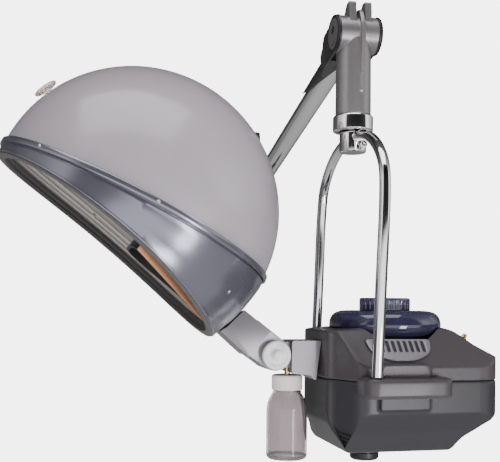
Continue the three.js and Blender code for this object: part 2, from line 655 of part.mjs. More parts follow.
// Everything below a plane that tips down towards the front.
function belowPlane(height, slope) {
  const span = 260;
  return prismXZ([
    [-span, height + slope * span], [-span, -span], [span, -span], [span, height - slope * span],
  ], -span, span);
}

// Everything below the arched lip.
function belowLip(rise) {
  const stations = Array.from({ length: 13 }, (unused, index) => 230 - index * (460 / 12));
  const arch = stations.map((forward) => [forward, lipHeight(forward) + rise]);
  return prismXZ([[-230, -260], [230, -260], ...arch], -260, 260);
}

function makeHood() {
  const { radius } = hood;
  const { slope, top: bandTop } = rim;
  const { ductUp, ductRadius } = steam;
  const dome = cut(shell(radius, radius - hood.wall), belowPlane(bandTop + gap, slope));
  const bandZone = cut(belowPlane(bandTop, slope), belowLip(gap));
  const ductBore = bar(ductRadius + gap, [-150, 0, ductUp], [-200, 0, ductUp], 20);
  const band = cut(shell(radius + 1.5, radius - hood.wall).intersect(bandZone), ductBore);
  const flangeZone = cut(belowPlane(bandTop - 1, slope), belowPlane(bandTop - 1 - rim.flange, slope));
  const flange = shell(radius + 4, radius + 1.5 + gap).intersect(flangeZone);
  const liner = cut(
    shell(radius - hood.wall - gap, radius - hood.wall - 3),
    belowLip(gap),
    ductBore,
  );
  const gutterInner = radius - 9.5;
  const gutterRing = shell(radius + 1.5, gutterInner).intersect(cut(belowLip(0), belowLip(-4)));
  const gutterWall = cut(
    shell(radius - hood.wall - 3 - gap, gutterInner).intersect(cut(belowLip(12), belowLip(-1))),
    ductBore,
  );
  const gutter = join(gutterRing, gutterWall);
  const acrossX = tilt.x - hood.x;
  const acrossZ = tilt.z - hood.z;
  const pivotForward = acrossZ * Math.sin(hood.angle) - acrossX * Math.cos(hood.angle);
  const pivotUp = acrossX * Math.sin(hood.angle) + acrossZ * Math.cos(hood.angle);
  const neckRoot = prismXZ([[-176, -7, 0], [-176, -49, 0], [-238, -51, 3], [-240, -5, 3]], -30, 30, 0);
  const cheeks = [-1, 1].map((side) => {
    const from = side > 0 ? tilt.tongue + gap : -tilt.cheek;
    const to = side > 0 ? tilt.cheek : -tilt.tongue - gap;
    return join(
      prismXZ([[-215, -5, 0], [-215, -51, 0], [pivotForward, -47, 4], [pivotForward, -3, 4]], from, to),
      bar(tilt.radius, [pivotForward, from, pivotUp], [pivotForward, to, pivotUp], 28),
    );
  });
  const throat = tilt.tongue + gap;
  const acrossPivot = (reach, half, sides) => (
    bar(reach, [pivotForward, -half, pivotUp], [pivotForward, half, pivotUp], sides)
  );
  const neck = cut(
    join(cut(neckRoot, box(-300, -228, -throat, throat, -80, 30)), ...cheeks),
    ball(radius + 4 + gap),
    bar(10, [-180, 0, ductUp], [-250, 0, ductUp], 16),
    acrossPivot(pivot.tilt + gap, 60, 20),
    acrossPivot(tilt.radius + 3, throat, 28),
  );
  const steamDuct = cut(
    bar(ductRadius, [-160, 0, ductUp], [-188, 0, ductUp], 20),
    bar(ductRadius - steam.ductWall, [-150, 0, ductUp], [-200, 0, ductUp], 20),
  );
  const trayOutline = [[-160, -50, 40], [-160, 50, 40], [-20, 72, 50], [-20, -72, 50]];
  const tray = cut(
    prismXY(trayOutline, -42, -30),
    ...[-3, -2, -1, 0, 1, 2, 3].map((step) => box(-120, -60, step * 15 - 2.5, step * 15 + 2.5, -50, -20)),
  );
  const stripPlan = prismXY([[-150, 71, 2], [-30, 98, 2], [-28, 104, 2], [-150, 77, 2]], -64, -28);
  const strip = stripPlan.intersect(prismXZ([[-160, -59], [-20, -46], [-20, -20], [-160, -20]], -200, 200));
  const knobAngle = 13;
  const knobUp = knobAngle * halfTurn / 180;
  const knobSeat = radius + gap;
  const knobForm = turned([
    [0, 0], [6, 0], [6, 5], [14.5, 6.5], [17, 8.5], [15.5, 11], [0, 11.6],
  ], 20).rotate([0, 90 - knobAngle, 0]);
  const knobPlaced = knobForm.translate(knobSeat * Math.cos(knobUp), 0, knobSeat * Math.sin(knobUp));
  const group = new THREE.Group();
  group.add(piece('hood_dome', domeGrey, dome));
  group.add(piece('rim_band', trimSilver, band));
  group.add(piece('rim_flange', trimSilver, flange));
  group.add(piece('hood_liner', linerGrey, liner));
  group.add(piece('rim_gutter', blackPlastic, gutter));
  group.add(piece('hood_neck', satinSilver, neck));
  group.add(piece('steam_duct', aluminium, steamDuct));
  group.add(piece('steam_tray', blackPlastic, tray));
  group.add(piece('copper_strip', copper, strip));
  group.add(piece('sight_knob', clear, knobPlaced));
  group.position.set(hood.x, 0, hood.z);
  group.rotation.set(0, hood.angle, halfTurn, 'XYZ');
  return group;
}

// ---------- assembly ----------
const machine = new THREE.Group();
const headGroup = new THREE.Group();
headGroup.position.set(0, headY, headZ);
const controls = makeControls();
const clamp = makeTiltKnob();
headGroup.add(...makeKnuckle(), ...makeHanger(), ...makeCase(), makeHandle(-1), makeHandle(1));
headGroup.add(...makeSteamWorks(), ...controls.fixed, controls.timer, controls.rocker, ...makeTank());
headGroup.add(...makeTiltBracket(), clamp.knob, clamp.nut, ...makeBottle(), makeHood());
machine.add(...makeWallBracket(), ...makeArmBase(), ...makeLiftArm(), headGroup);

export default machine;
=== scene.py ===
# Looks of the salon hair steamer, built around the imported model. Metres in the row frame.
# Shapes are given in the head's millimetres: origin on the swivel axis at the height of the case's seam.
import json
import math

import bmesh
import bpy
from mathutils import Matrix, Vector


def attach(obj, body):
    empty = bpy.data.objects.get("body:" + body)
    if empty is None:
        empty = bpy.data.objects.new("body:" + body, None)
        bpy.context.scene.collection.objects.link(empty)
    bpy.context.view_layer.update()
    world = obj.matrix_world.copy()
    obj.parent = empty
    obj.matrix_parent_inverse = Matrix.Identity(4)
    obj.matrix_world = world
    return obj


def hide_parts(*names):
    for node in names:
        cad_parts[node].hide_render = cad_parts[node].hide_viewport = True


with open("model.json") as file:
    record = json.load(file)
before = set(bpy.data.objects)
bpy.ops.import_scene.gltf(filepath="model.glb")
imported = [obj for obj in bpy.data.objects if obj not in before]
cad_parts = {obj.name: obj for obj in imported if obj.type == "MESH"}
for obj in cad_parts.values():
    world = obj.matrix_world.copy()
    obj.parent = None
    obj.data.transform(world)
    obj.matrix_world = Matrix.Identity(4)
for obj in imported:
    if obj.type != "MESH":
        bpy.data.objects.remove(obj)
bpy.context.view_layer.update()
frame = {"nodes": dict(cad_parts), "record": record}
nodes = frame["nodes"]
MM = 0.001
HEAD_Y = -730
HEAD_Z = -296
PIPE_BORE = 9.3
TANK_X = 50
BOTTLE_X = -93.5
TILT_X = -118
TILT_Z = 31
LEG_Y = 134
BARREL_Z = 482
FLOOR_Z = -1.9
FLOOR_HALF = 5
TO_ROW = Matrix.Translation((0, HEAD_Y * MM, HEAD_Z * MM)) @ Matrix.Scale(MM, 4)

# ---------- camera ----------
camera_data = bpy.data.cameras.new("camera")
camera_data.sensor_width = 36
camera_data.lens = 61.2
camera_data.shift_y = 0.144
camera_data.clip_start = 0.05
camera = bpy.data.objects.new("camera", camera_data)
bpy.context.scene.collection.objects.link(camera)
eye = (-0.4016, -1.8768, -0.195)
heading, tilt, roll = math.radians(-12.5), math.radians(90), math.radians(0.5)
camera.matrix_world = (
    Matrix.Translation(eye)
    @ Matrix.Rotation(heading, 4, "Z")
    @ Matrix.Rotation(tilt, 4, "X")
    @ Matrix.Rotation(roll, 4, "Z")
)
bpy.context.scene.camera = camera

# ---------- light ----------
world = bpy.data.worlds.new("studio")
bpy.context.scene.world = world
world.use_nodes = True
sky = world.node_tree
background = sky.nodes["Background"]
background.inputs["Strength"].default_value = 2.4
direction = sky.nodes.new("ShaderNodeTexCoord")
parts = sky.nodes.new("ShaderNodeSeparateXYZ")
sky.links.new(direction.outputs["Generated"], parts.inputs["Vector"])


def sky_ramp(source, stops):
    ramp = sky.nodes.new("ShaderNodeValToRGB")
    ramp.color_ramp.interpolation = "EASE"
    while len(ramp.color_ramp.elements) < len(stops):
        ramp.color_ramp.elements.new(0.5)
    for element, (place, value) in zip(ramp.color_ramp.elements, stops):
        element.position = place
        element.color = (value, value, value, 1)
    sky.links.new(source, ramp.inputs["Fac"])
    return ramp.outputs["Color"]


def halved(source):
    """-1 to 1 becomes 0 to 1."""
    node = sky.nodes.new("ShaderNodeMath")
    node.operation = "MULTIPLY_ADD"
    node.inputs[1].default_value = 0.5
    node.inputs[2].default_value = 0.5
    sky.links.new(source, node.inputs[0])
    return node.outputs[0]


def sky_mix(kind, factor, first, second):
    mix = sky.nodes.new("ShaderNodeMix")
    mix.data_type = "RGBA"
    mix.blend_type = kind
    for socket, source in ((mix.inputs[0], factor), (mix.inputs[6], first), (mix.inputs[7], second)):
        if isinstance(source, (float, tuple)):
            socket.default_value = source
        else:
            sky.links.new(source, socket)
    return mix.outputs[2]


# The studio that the object reflects: bright in front at eye level, dark above it, dim behind.
level = sky_ramp(
    halved(parts.outputs["Y"]),
    [(0.0, 0.9), (0.17, 0.85), (0.27, 0.04), (0.72, 0.03), (0.84, 0.12), (1.0, 0.09)],
)
raised = sky_ramp(
    halved(parts.outputs["Y"]),
    [(0.0, 0.01), (0.2, 0.02), (0.3, 0.80), (0.55, 0.35), (0.8, 0.05), (1.0, 0.03)],
)
rise = sky_ramp(halved(parts.outputs["Z"]), [(0.0, 0.0), (0.512, 0.0), (0.55, 1.0), (1.0, 1.0)])
fade = sky_ramp(halved(parts.outputs["Z"]), [(0.0, 0.55), (0.4, 1.0), (0.66, 1.0), (0.8, 0.30), (1.0, 0.15)])
studio = sky_mix("MULTIPLY", 1.0, sky_mix("MIX", rise, level, raised), fade)

# Straight to the camera, or through clear plastic, the backdrop is plain.
seen = sky.nodes.new("ShaderNodeLightPath")
plain = sky.nodes.new("ShaderNodeMath")
plain.operation = "MAXIMUM"
sky.links.new(seen.outputs["Is Camera Ray"], plain.inputs[0])
sky.links.new(seen.outputs["Is Transmission Ray"], plain.inputs[1])
backdrop = (2.2, 2.2, 2.2, 1)
sky.links.new(sky_mix("MIX", plain.outputs[0], studio, backdrop), background.inputs["Color"])


def area_light(name, place, target, size, power, mirrored_by_gloss=True):
    data = bpy.data.lights.new(name, "AREA")
    data.shape = "RECTANGLE"
    data.size, data.size_y = size
    data.energy = power
    lamp = bpy.data.objects.new(name, data)
    bpy.context.scene.collection.objects.link(lamp)
    lamp.location = place
    lamp.rotation_euler = (Vector(target) - Vector(place)).to_track_quat("-Z", "Y").to_euler()
    lamp.visible_camera = False
    lamp.visible_glossy = mirrored_by_gloss


area_light("window_light", (-0.45, -1.25, 1.9), (-0.3, -0.75, 0), (2.3, 1.5), 38)
area_light("front_light", (0.7, -2.9, 0.3), (0, -0.7, -0.2), (1.2, 1.2), 6, False)
area_light("low_light", (0.38, -1.86, -0.50), (-0.27, -0.91, -0.12), (0.28, 0.5), 6.5)
area_light("hood_light", (-0.75, -1.5, -1.5), (-0.33, -0.8, -0.1), (0.8, 0.8), 14, False)


# ---------- materials ----------
BLOTCH_SCALE = 6
NOISE_LOW, NOISE_HIGH = 0.3, 0.7
ROUGH_SPREAD = 0.15
GRAIN_HEIGHT = 0.0004
SCATTER_DEPTH = 0.01


def noise(tree, scale, detail):
    coordinates = tree.nodes.new("ShaderNodeTexCoord")
    node = tree.nodes.new("ShaderNodeTexNoise")
    node.inputs["Scale"].default_value = scale
    node.inputs["Detail"].default_value = detail
    tree.links.new(coordinates.outputs["Object"], node.inputs["Vector"])
    return node.outputs["Fac"]


def vary(tree, source, low, high, target):
    """Drives a value between two limits by a noise."""
    node = tree.nodes.new("ShaderNodeMapRange")
    node.inputs["From Min"].default_value = NOISE_LOW
    node.inputs["From Max"].default_value = NOISE_HIGH
    node.inputs["To Min"].default_value = low
    node.inputs["To Max"].default_value = high
    tree.links.new(source, node.inputs["Value"])
    tree.links.new(node.outputs["Result"], target)


def tint(tree, source, color, amount, target):
    """Drives a colour a little darker and lighter by a noise."""
    mix = tree.nodes.new("ShaderNodeMix")
    mix.data_type = "RGBA"
    dark = [channel * (1 - amount) for channel in color] + [1]
    light = [min(1, channel * (1 + amount)) for channel in color] + [1]
    mix.inputs[6].default_value = dark
    mix.inputs[7].default_value = light
    tree.links.new(source, mix.inputs[0])
    tree.links.new(mix.outputs[2], target)


def bump(tree, source, strength, bsdf):
    node = tree.nodes.new("ShaderNodeBump")
    node.inputs["Strength"].default_value = strength
    node.inputs["Distance"].default_value = GRAIN_HEIGHT
    tree.links.new(source, node.inputs["Height"])
    tree.links.new(node.outputs["Normal"], bsdf.inputs["Normal"])


def surface(name, color, rough, metallic=0.0, grain=900, grain_strength=0.05, amount=0.06,
            coat=0.0, coat_rough=0.05, transmission=0.0, ior=1.45, subsurface=0.0):
    """Material with cloudy colour and roughness, and a fine grain. Amount is how far the colour varies."""
    material = bpy.data.materials.new(name)
    material.use_nodes = True
    tree = material.node_tree
    bsdf = tree.nodes["Principled BSDF"]
    bsdf.inputs["Metallic"].default_value = metallic
    bsdf.inputs["IOR"].default_value = ior
    bsdf.inputs["Coat Weight"].default_value = coat
    bsdf.inputs["Coat Roughness"].default_value = coat_rough
    bsdf.inputs["Transmission Weight"].default_value = transmission
    if subsurface:
        bsdf.inputs["Subsurface Weight"].default_value = subsurface
        bsdf.inputs["Subsurface Scale"].default_value = SCATTER_DEPTH
    clouds = noise(tree, BLOTCH_SCALE, 3)
    tint(tree, clouds, color, amount, bsdf.inputs["Base Color"])
    vary(tree, clouds, rough * (1 - ROUGH_SPREAD), rough * (1 + ROUGH_SPREAD), bsdf.inputs["Roughness"])
    bump(tree, noise(tree, grain, 2), grain_strength, bsdf)
    return material


LOOKS = {
    "cast_black": surface("cast_black", (0.022, 0.021, 0.024), 0.34, 0.0, 700, 0.10, coat=0.35,
                          coat_rough=0.2),
    "cast_grey": surface("cast_grey", (0.24, 0.225, 0.235), 0.33, 0.6, 420, 0.35, amount=0.10),
    "chrome": surface("chrome", (0.80, 0.79, 0.80), 0.07, 1.0, 60, 0.015, amount=0.03),
    "steel": surface("steel", (0.60, 0.60, 0.62), 0.25, 1.0, 500, 0.05),
    "black_plastic": surface("black_plastic", (0.02, 0.02, 0.022), 0.42, 0.0, 1100, 0.10),
    "rubber": surface("rubber", (0.016, 0.016, 0.018), 0.62, 0.0, 900, 0.12),
    "case_upper": surface("case_upper", (0.076, 0.069, 0.076), 0.28, 0.10, 1300, 0.10, coat=0.10,
                          coat_rough=0.08, ior=1.25),
    "case_lower": surface("case_lower", (0.043, 0.042, 0.047), 0.32, 0.05, 1300, 0.10, coat=0.06,
                          coat_rough=0.15, ior=1.28),
    "satin_silver": surface("satin_silver", (0.25, 0.235, 0.255), 0.36, 0.45, 900, 0.05),
    "trim_silver": surface("trim_silver", (0.20, 0.20, 0.25), 0.22, 0.65, 900, 0.03, coat=0.3,
                           coat_rough=0.12),
    "dome": surface("dome", (0.45, 0.41, 0.45), 0.25, 0.0, 300, 0.01, amount=0.03, coat=0.25, coat_rough=0.06,
                    subsurface=0.25),
    "liner": surface("liner", (0.50, 0.47, 0.45), 0.40, 0.1, 500, 0.05, amount=0.10),
    "white": surface("white", (0.92, 0.91, 0.92), 0.28, 0.0, 700, 0.03, coat=0.2),
    "cream": surface("cream", (0.88, 0.82, 0.78), 0.35, 0.0, 700, 0.05),
    "clear": surface("clear", (0.37, 0.333, 0.345), 0.08, 0.0, 90, 0.02, amount=0.03, transmission=0.80,
                     ior=1.3),
    "tank": surface("tank", (0.050, 0.047, 0.105), 0.10, 0.0, 60, 0.03, amount=0.25, transmission=0.45,
                    coat=0.6),
    "copper": surface("copper", (0.90, 0.42, 0.22), 0.30, 0.9, 200, 0.05, amount=0.12),
    "brass": surface("brass", (0.72, 0.52, 0.20), 0.22, 1.0, 400, 0.05, amount=0.10),
    "aluminium": surface("aluminium", (0.62, 0.62, 0.64), 0.32, 1.0, 500, 0.06),
}
CHANNEL = surface("channel", (0.095, 0.088, 0.092), 0.36, 0.1, 900, 0.06, amount=0.12)
FROSTED = surface("frosted", (0.80, 0.70, 0.69), 0.28, 0.0, 200, 0.04, amount=0.05, transmission=0.45,
                  ior=1.35)
SLOT_OF = {entry["node"]: entry["material_slot"] for entry in frame["record"]["subparts"]}
BODY_OF = {
    node: body for body, members in frame["record"]["behaviour"]["bodies"].items() for node in members
}
for name, node in nodes.items():
    node.data.materials.clear()
    node.data.materials.append(LOOKS[SLOT_OF[name]])

# ---------- mesh helpers: everything is built in the head's millimetres ----------
def arc_corners(points, steps=5):
    """Outline with each corner rounded: points are (a, b, radius)."""
    ring = []
    count = len(points)
    for index, point in enumerate(points):
        corner = Vector(point[:2])
        radius = point[2] if len(point) > 2 else 0
        if not radius:
            ring.append(corner)
            continue
        before = Vector(points[index - 1][:2]) - corner
        after = Vector(points[(index + 1) % count][:2]) - corner
        start = corner + before.normalized() * min(radius, before.length * 0.49)
        end = corner + after.normalized() * min(radius, after.length * 0.49)
        for step in range(steps + 1):
            t = step / steps
            ring.append(start * (1 - t) ** 2 + corner * 2 * t * (1 - t) + end * t ** 2)
    return ring


def bm_from(vertices, faces):
    bm = bmesh.new()
    made = [bm.verts.new(v) for v in vertices]
    for face in faces:
        bm.faces.new([made[i] for i in face])
    bmesh.ops.recalc_face_normals(bm, faces=bm.faces[:])
    return bm


def loft(rings, closed_ends=True, loop=False):
    """Skin over rings that all have as many points. loop joins the last ring to the first."""
    size = len(rings[0])
    vertices = [v for ring in rings for v in ring]
    faces = []
    pairs = [(i, i + 1) for i in range(len(rings) - 1)]
    if loop:
        pairs.append((len(rings) - 1, 0))
    for low, high in pairs:
        for k in range(size):
            n = (k + 1) % size
            faces.append((low * size + k, low * size + n, high * size + n, high * size + k))
    if closed_ends and not loop:
        faces.append(tuple(range(size)))
        faces.append(tuple((len(rings) - 1) * size + k for k in range(size)))
    return bm_from(vertices, faces)


def prism(points, plane, low, high, steps=5):
    """Outline in the named plane, pushed from low to high along the third axis."""
    ring = arc_corners(points, steps)
    place = {
        "XY": lambda a, b, c: (a, b, c),
        "XZ": lambda a, b, c: (a, c, b),
        "YZ": lambda a, b, c: (c, a, b),
    }[plane]
    return loft([[Vector(place(p.x, p.y, level)) for p in ring] for level in (low, high)])


def block(x0, x1, y0, y1, z0, z1):
    return prism([(x0, y0), (x1, y0), (x1, y1), (x0, y1)], "XY", z0, z1)


def lathe(profile, segments=64, steps=3):
    """Closed solid turned about +Z from (radius, height, corner radius) points.

    The points begin and end on the axis, or make a loop.
    """
    line = arc_corners(profile, steps)
    on_axis = line[0].x < 0.01
    bm = bmesh.new()
    rings = []
    for point in line:
        if point.x < 0.01:
            rings.append([bm.verts.new((0, 0, point.y))])
        else:
            rings.append([
                bm.verts.new((point.x * math.cos(a), point.x * math.sin(a), point.y))
                for a in (2 * math.pi * k / segments for k in range(segments))
            ])
    pairs = list(zip(rings, rings[1:]))
    if not on_axis:
        pairs.append((rings[-1], rings[0]))
    for low, high in pairs:
        for k in range(segments):
            n = (k + 1) % segments
            corners = [low[k % len(low)], low[n % len(low)], high[n % len(high)], high[k % len(high)]]
            face = list(dict.fromkeys(corners))
            if len(face) > 2:
                bm.faces.new(face)
    bmesh.ops.recalc_face_normals(bm, faces=bm.faces[:])
    return bm


def catmull(points, per_span=10):
    """Smooth line through the points, centripetal."""
    path = [Vector(p) for p in points]
    path = [path[0] * 2 - path[1]] + path + [path[-1] * 2 - path[-2]]
    line = []
    for i in range(1, len(path) - 2):
        p0, p1, p2, p3 = path[i - 1:i + 3]
        t1 = max((p1 - p0).length, 1e-6) ** 0.5
        t2 = t1 + max((p2 - p1).length, 1e-6) ** 0.5
        t3 = t2 + max((p3 - p2).length, 1e-6) ** 0.5
        for step in range(per_span):
            t = t1 + (t2 - t1) * step / per_span
            a1 = p0 * ((t1 - t) / t1) + p1 * (t / t1)
            a2 = p1 * ((t2 - t) / (t2 - t1)) + p2 * ((t - t1) / (t2 - t1))
            a3 = p2 * ((t3 - t) / (t3 - t2)) + p3 * ((t - t2) / (t3 - t2))
            b1 = a1 * ((t2 - t) / t2) + a2 * (t / t2)
            b2 = a2 * ((t3 - t) / (t3 - t1)) + a3 * ((t - t1) / (t3 - t1))
            line.append(b1 * ((t2 - t) / (t2 - t1)) + b2 * ((t - t1) / (t2 - t1)))
    line.append(path[-2])
    return line


def tube(line, radius, segments):
    """Round bar along a line of points."""
    line = [Vector(p) for p in line]
    tangent = (line[1] - line[0]).normalized()
    across = tangent.orthogonal().normalized()
    rings = []
    count = len(line)
    for i, point in enumerate(line):
        ahead = line[min(i + 1, count - 1)] - line[max(i - 1, 0)]
        turn = tangent.rotation_difference(ahead.normalized())
        across = turn @ across
        tangent = ahead.normalized()
        other = tangent.cross(across)
        rings.append([
            point + radius * (across * math.cos(a) + other * math.sin(a))
            for a in (2 * math.pi * k / segments for k in range(segments))
        ])
    return loft(rings)


def rod(radius, start, end, segments=48, radius_end=None):
    start, end = Vector(start), Vector(end)
    way = end - start
    last = radius if radius_end is None else radius_end
    bm = lathe([(0, 0), (radius, 0), (last, way.length), (0, way.length)], segments)
    turn = Vector((0, 0, 1)).rotation_difference(way.normalized()).to_matrix().to_4x4()
    bm.transform(Matrix.Translation(start) @ turn)
    return bm


def merged(*parts):
    """Several meshes in one bmesh, not joined."""
    mesh = bpy.data.meshes.new("part")
    whole = bmesh.new()
    for part in parts:
        part.to_mesh(mesh)
        whole.from_mesh(mesh)
        part.free()
    bpy.data.meshes.remove(mesh)
    return whole


def scratch(bm):
    mesh = bpy.data.meshes.new("scratch")
    bm.to_mesh(mesh)
    bm.free()
    obj = bpy.data.objects.new("scratch", mesh)
    bpy.context.scene.collection.objects.link(obj)
    return obj


def settle(obj):
    """The object's mesh after its modifiers, as a bmesh; the object is removed."""
    graph = bpy.context.evaluated_depsgraph_get()
    mesh = bpy.data.meshes.new_from_object(obj.evaluated_get(graph))
    bm = bmesh.new()
    bm.from_mesh(mesh)
    bpy.data.meshes.remove(mesh)
    old = obj.data
    bpy.data.objects.remove(obj)
    bpy.data.meshes.remove(old)
    return bm


def boolean(base, operation, *tools):
    """base with each tool joined, cut away or kept in common."""
    for tool in tools:
        body, cutter = scratch(base), scratch(tool)
        modifier = body.modifiers.new("boolean", "BOOLEAN")
        modifier.operation = operation
        modifier.solver = "EXACT"
        modifier.object = cutter
        base = settle(body)
        old = cutter.data
        bpy.data.objects.remove(cutter)
        bpy.data.meshes.remove(old)
    return base


def soften(bm, width, segments=3, angle=32):
    """Rounds the sharp edges."""
    bmesh.ops.dissolve_limit(bm, angle_limit=math.radians(1.0), verts=bm.verts[:], edges=bm.edges[:])
    obj = scratch(bm)
    modifier = obj.modifiers.new("bevel", "BEVEL")
    modifier.width = width
    modifier.segments = segments
    modifier.limit_method = "ANGLE"
    modifier.angle_limit = math.radians(angle)
    modifier.use_clamp_overlap = True
    return settle(obj)


def moulded(bm, cell, rounds, strength=0.5):
    """One smooth skin over overlapping solids, with its corners eased."""
    obj = scratch(bm)
    remesh = obj.modifiers.new("remesh", "REMESH")
    remesh.mode = "VOXEL"
    remesh.voxel_size = cell
    smooth = obj.modifiers.new("smooth", "SMOOTH")
    smooth.iterations = rounds
    smooth.factor = strength
    return settle(obj)


def show(name, bm, body, slot, replaced=(), place=None, angle=35, look=None):
    """Puts a finished mesh in the row frame, riding on a body."""
    bmesh.ops.triangulate(bm, faces=[f for f in bm.faces if len(f.verts) > 4])
    mesh = bpy.data.meshes.new(name)
    bm.to_mesh(mesh)
    bm.free()
    mesh.transform(TO_ROW @ place if place else TO_ROW)
    mesh.polygons.foreach_set("use_smooth", [True] * len(mesh.polygons))
    mesh.set_sharp_from_angle(angle=math.radians(angle))
    mesh.materials.append(look or LOOKS[slot])
    obj = bpy.data.objects.new(name, mesh)
    bpy.context.scene.collection.objects.link(obj)
    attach(obj, body)
    if replaced:
        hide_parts(*([replaced] if isinstance(replaced, str) else replaced))
    return obj


def refined(node, width, segments=3):
    """A CAD piece with its edges eased."""
    source = bmesh.new()
    source.from_mesh(nodes[node].data)
    bmesh.ops.remove_doubles(source, verts=source.verts[:], dist=2e-6)
    source.transform(TO_ROW.inverted())
    show(node + "_eased", soften(source, width, segments), BODY_OF[node], SLOT_OF[node], node)


def screw(name, at, way, radius, body, height=1.6, place=None):
    """Domed cross-head screw sitting on a surface; way points out of it."""
    shoulder, crown = (radius, height * 0.35, 0.5), (radius * 0.55, height * 0.9, 0.5)
    head = lathe([(0, -1), (radius, -1), shoulder, crown, (0, height)], 28)
    long, thin, low, high = radius * 0.6, radius * 0.12, height * 0.45, height * 2
    slots = [block(-long, long, -thin, thin, low, high), block(-thin, thin, -long, long, low, high)]
    head = boolean(head, "DIFFERENCE", *slots)
    turn = Vector((0, 0, 1)).rotation_difference(Vector(way).normalized()).to_matrix().to_4x4()
    head.transform(Matrix.Translation(at) @ turn)
    return show(name, head, body, "steel", place=place)


# ---------- hood ----------
HOOD_ANGLE = math.radians(40)
HOOD_CENTRE = (-304, 0, 220)
HOOD = (
    Matrix.Translation(HOOD_CENTRE)
    @ Matrix.Rotation(HOOD_ANGLE, 4, "Y")
    @ Matrix.Rotation(math.pi, 4, "Z")
)
HOOD_RADIUS = 191
TOP_SLOPE = 0.235
TOP_HEIGHT = 2
LINER_INSIDE = 184.5
LINER_OUTSIDE = 187.0
AROUND = 192


def lip_height(forward):
    return -46 - 18 * (forward / HOOD_RADIUS) ** 2


def rim_point(azimuth, radius, share, lift):
    """Point at a radius from the hood's centre: share 0 is at the lip, 1 at the trim's upper edge."""
    forward = radius * math.cos(azimuth)
    up = 0
    for _ in range(12):
        up = (1 - share) * lip_height(forward) + share * (TOP_HEIGHT - TOP_SLOPE * forward) + lift
        level = math.sqrt(max(radius * radius - up * up, 1))
        forward = level * math.cos(azimuth)
    return Vector((forward, level * math.sin(azimuth), up))


def on_sphere(radius, azimuth, elevation):
    flat = radius * math.cos(elevation)
    return Vector((flat * math.cos(azimuth), flat * math.sin(azimuth), radius * math.sin(elevation)))


def rim_ring(section):
    """Closed ring about the hood from a section of (radius, share, lift) points."""
    rings = [[rim_point(2 * math.pi * k / AROUND, *point) for point in section] for k in range(AROUND)]
    return loft(rings, loop=True)


def make_dome():
    wall = 3.5
    levels = 40
    bm = bmesh.new()
    rings = []
    for radius, order in ((HOOD_RADIUS, range(levels)), (HOOD_RADIUS - wall, reversed(range(levels)))):
        for level in order:
            ring = []
            for k in range(AROUND):
                azimuth = 2 * math.pi * k / AROUND
                edge = rim_point(azimuth, radius, 1, 0.3)
                low = math.asin(edge.z / radius)
                high = low + (math.pi / 2 - low) * level / levels
                ring.append(bm.verts.new(on_sphere(radius, azimuth, high)))
            rings.append(ring)
        if radius == HOOD_RADIUS:
            rings.append([bm.verts.new((0, 0, radius))] * AROUND)
            rings.append([bm.verts.new((0, 0, radius - wall))] * AROUND)
    rings.append(rings[0])
    for low, high in zip(rings, rings[1:]):
        if low[0] is low[1] and high[0] is high[1]:
            continue
        for k in range(AROUND):
            n = (k + 1) % AROUND
            face = list(dict.fromkeys([low[k], low[n], high[n], high[k]]))
            if len(face) > 2:
                bm.faces.new(face)
    bmesh.ops.recalc_face_normals(bm, faces=bm.faces[:])
    show("dome_shell", bm, "hood", "dome", "hood_dome", HOOD, angle=50)


def make_rim():
    band = rim_ring([
        (187.5, 1, 0), (192.4, 1, 0), (191.0, 1, -9.2), (191.2, 1, -10.4), (192.9, 1, -11.2),
        (193.2, 0.9, -9), (192.6, 0.7, 0), (192.4, 0.5, 0), (192.5, 0.3, 0), (192.8, 0.08, 0),
        (193.5, 0, 3.4), (193.9, 0, 2.2), (193.7, 0, 0.9), (192.9, 0, 0.4), (187.5, 0, 0.4),
        (187.5, 0.5, 0),
    ])
    show("rim_trim", band, "hood", "trim_silver", "rim_band", HOOD, angle=40)
    flange = rim_ring([
        (192.9, 1, -8.6), (195.0, 1, -8.8), (195.6, 1, -8.0), (195.5, 1, -4.5), (195.2, 1, -1.6),
        (194.5, 1, -0.7), (192.9, 1, -0.6),
    ])
    show("rim_flange_bead", flange, "hood", "trim_silver", "rim_flange", HOOD, angle=40)
    gutter = rim_ring([
        (192.4, 0, 0.2), (192.6, 0, -0.5), (192.2, 0, -1.4), (190.6, 0, -1.9), (184, 0, -2.2),
        (181.9, 0, -1.9), (181.4, 0, -1), (181.4, 0, 2.5), (182.7, 0, 3.5), (182.7, 0, 6),
        (181.4, 0, 7), (181.5, 0, 11.2), (182.3, 0, 12), (184.1, 0, 12), (184.1, 0, 0.2),
    ])
    show("rim_gutter_channel", gutter, "hood", "black_plastic", "rim_gutter", HOOD, angle=40, look=CHANNEL)


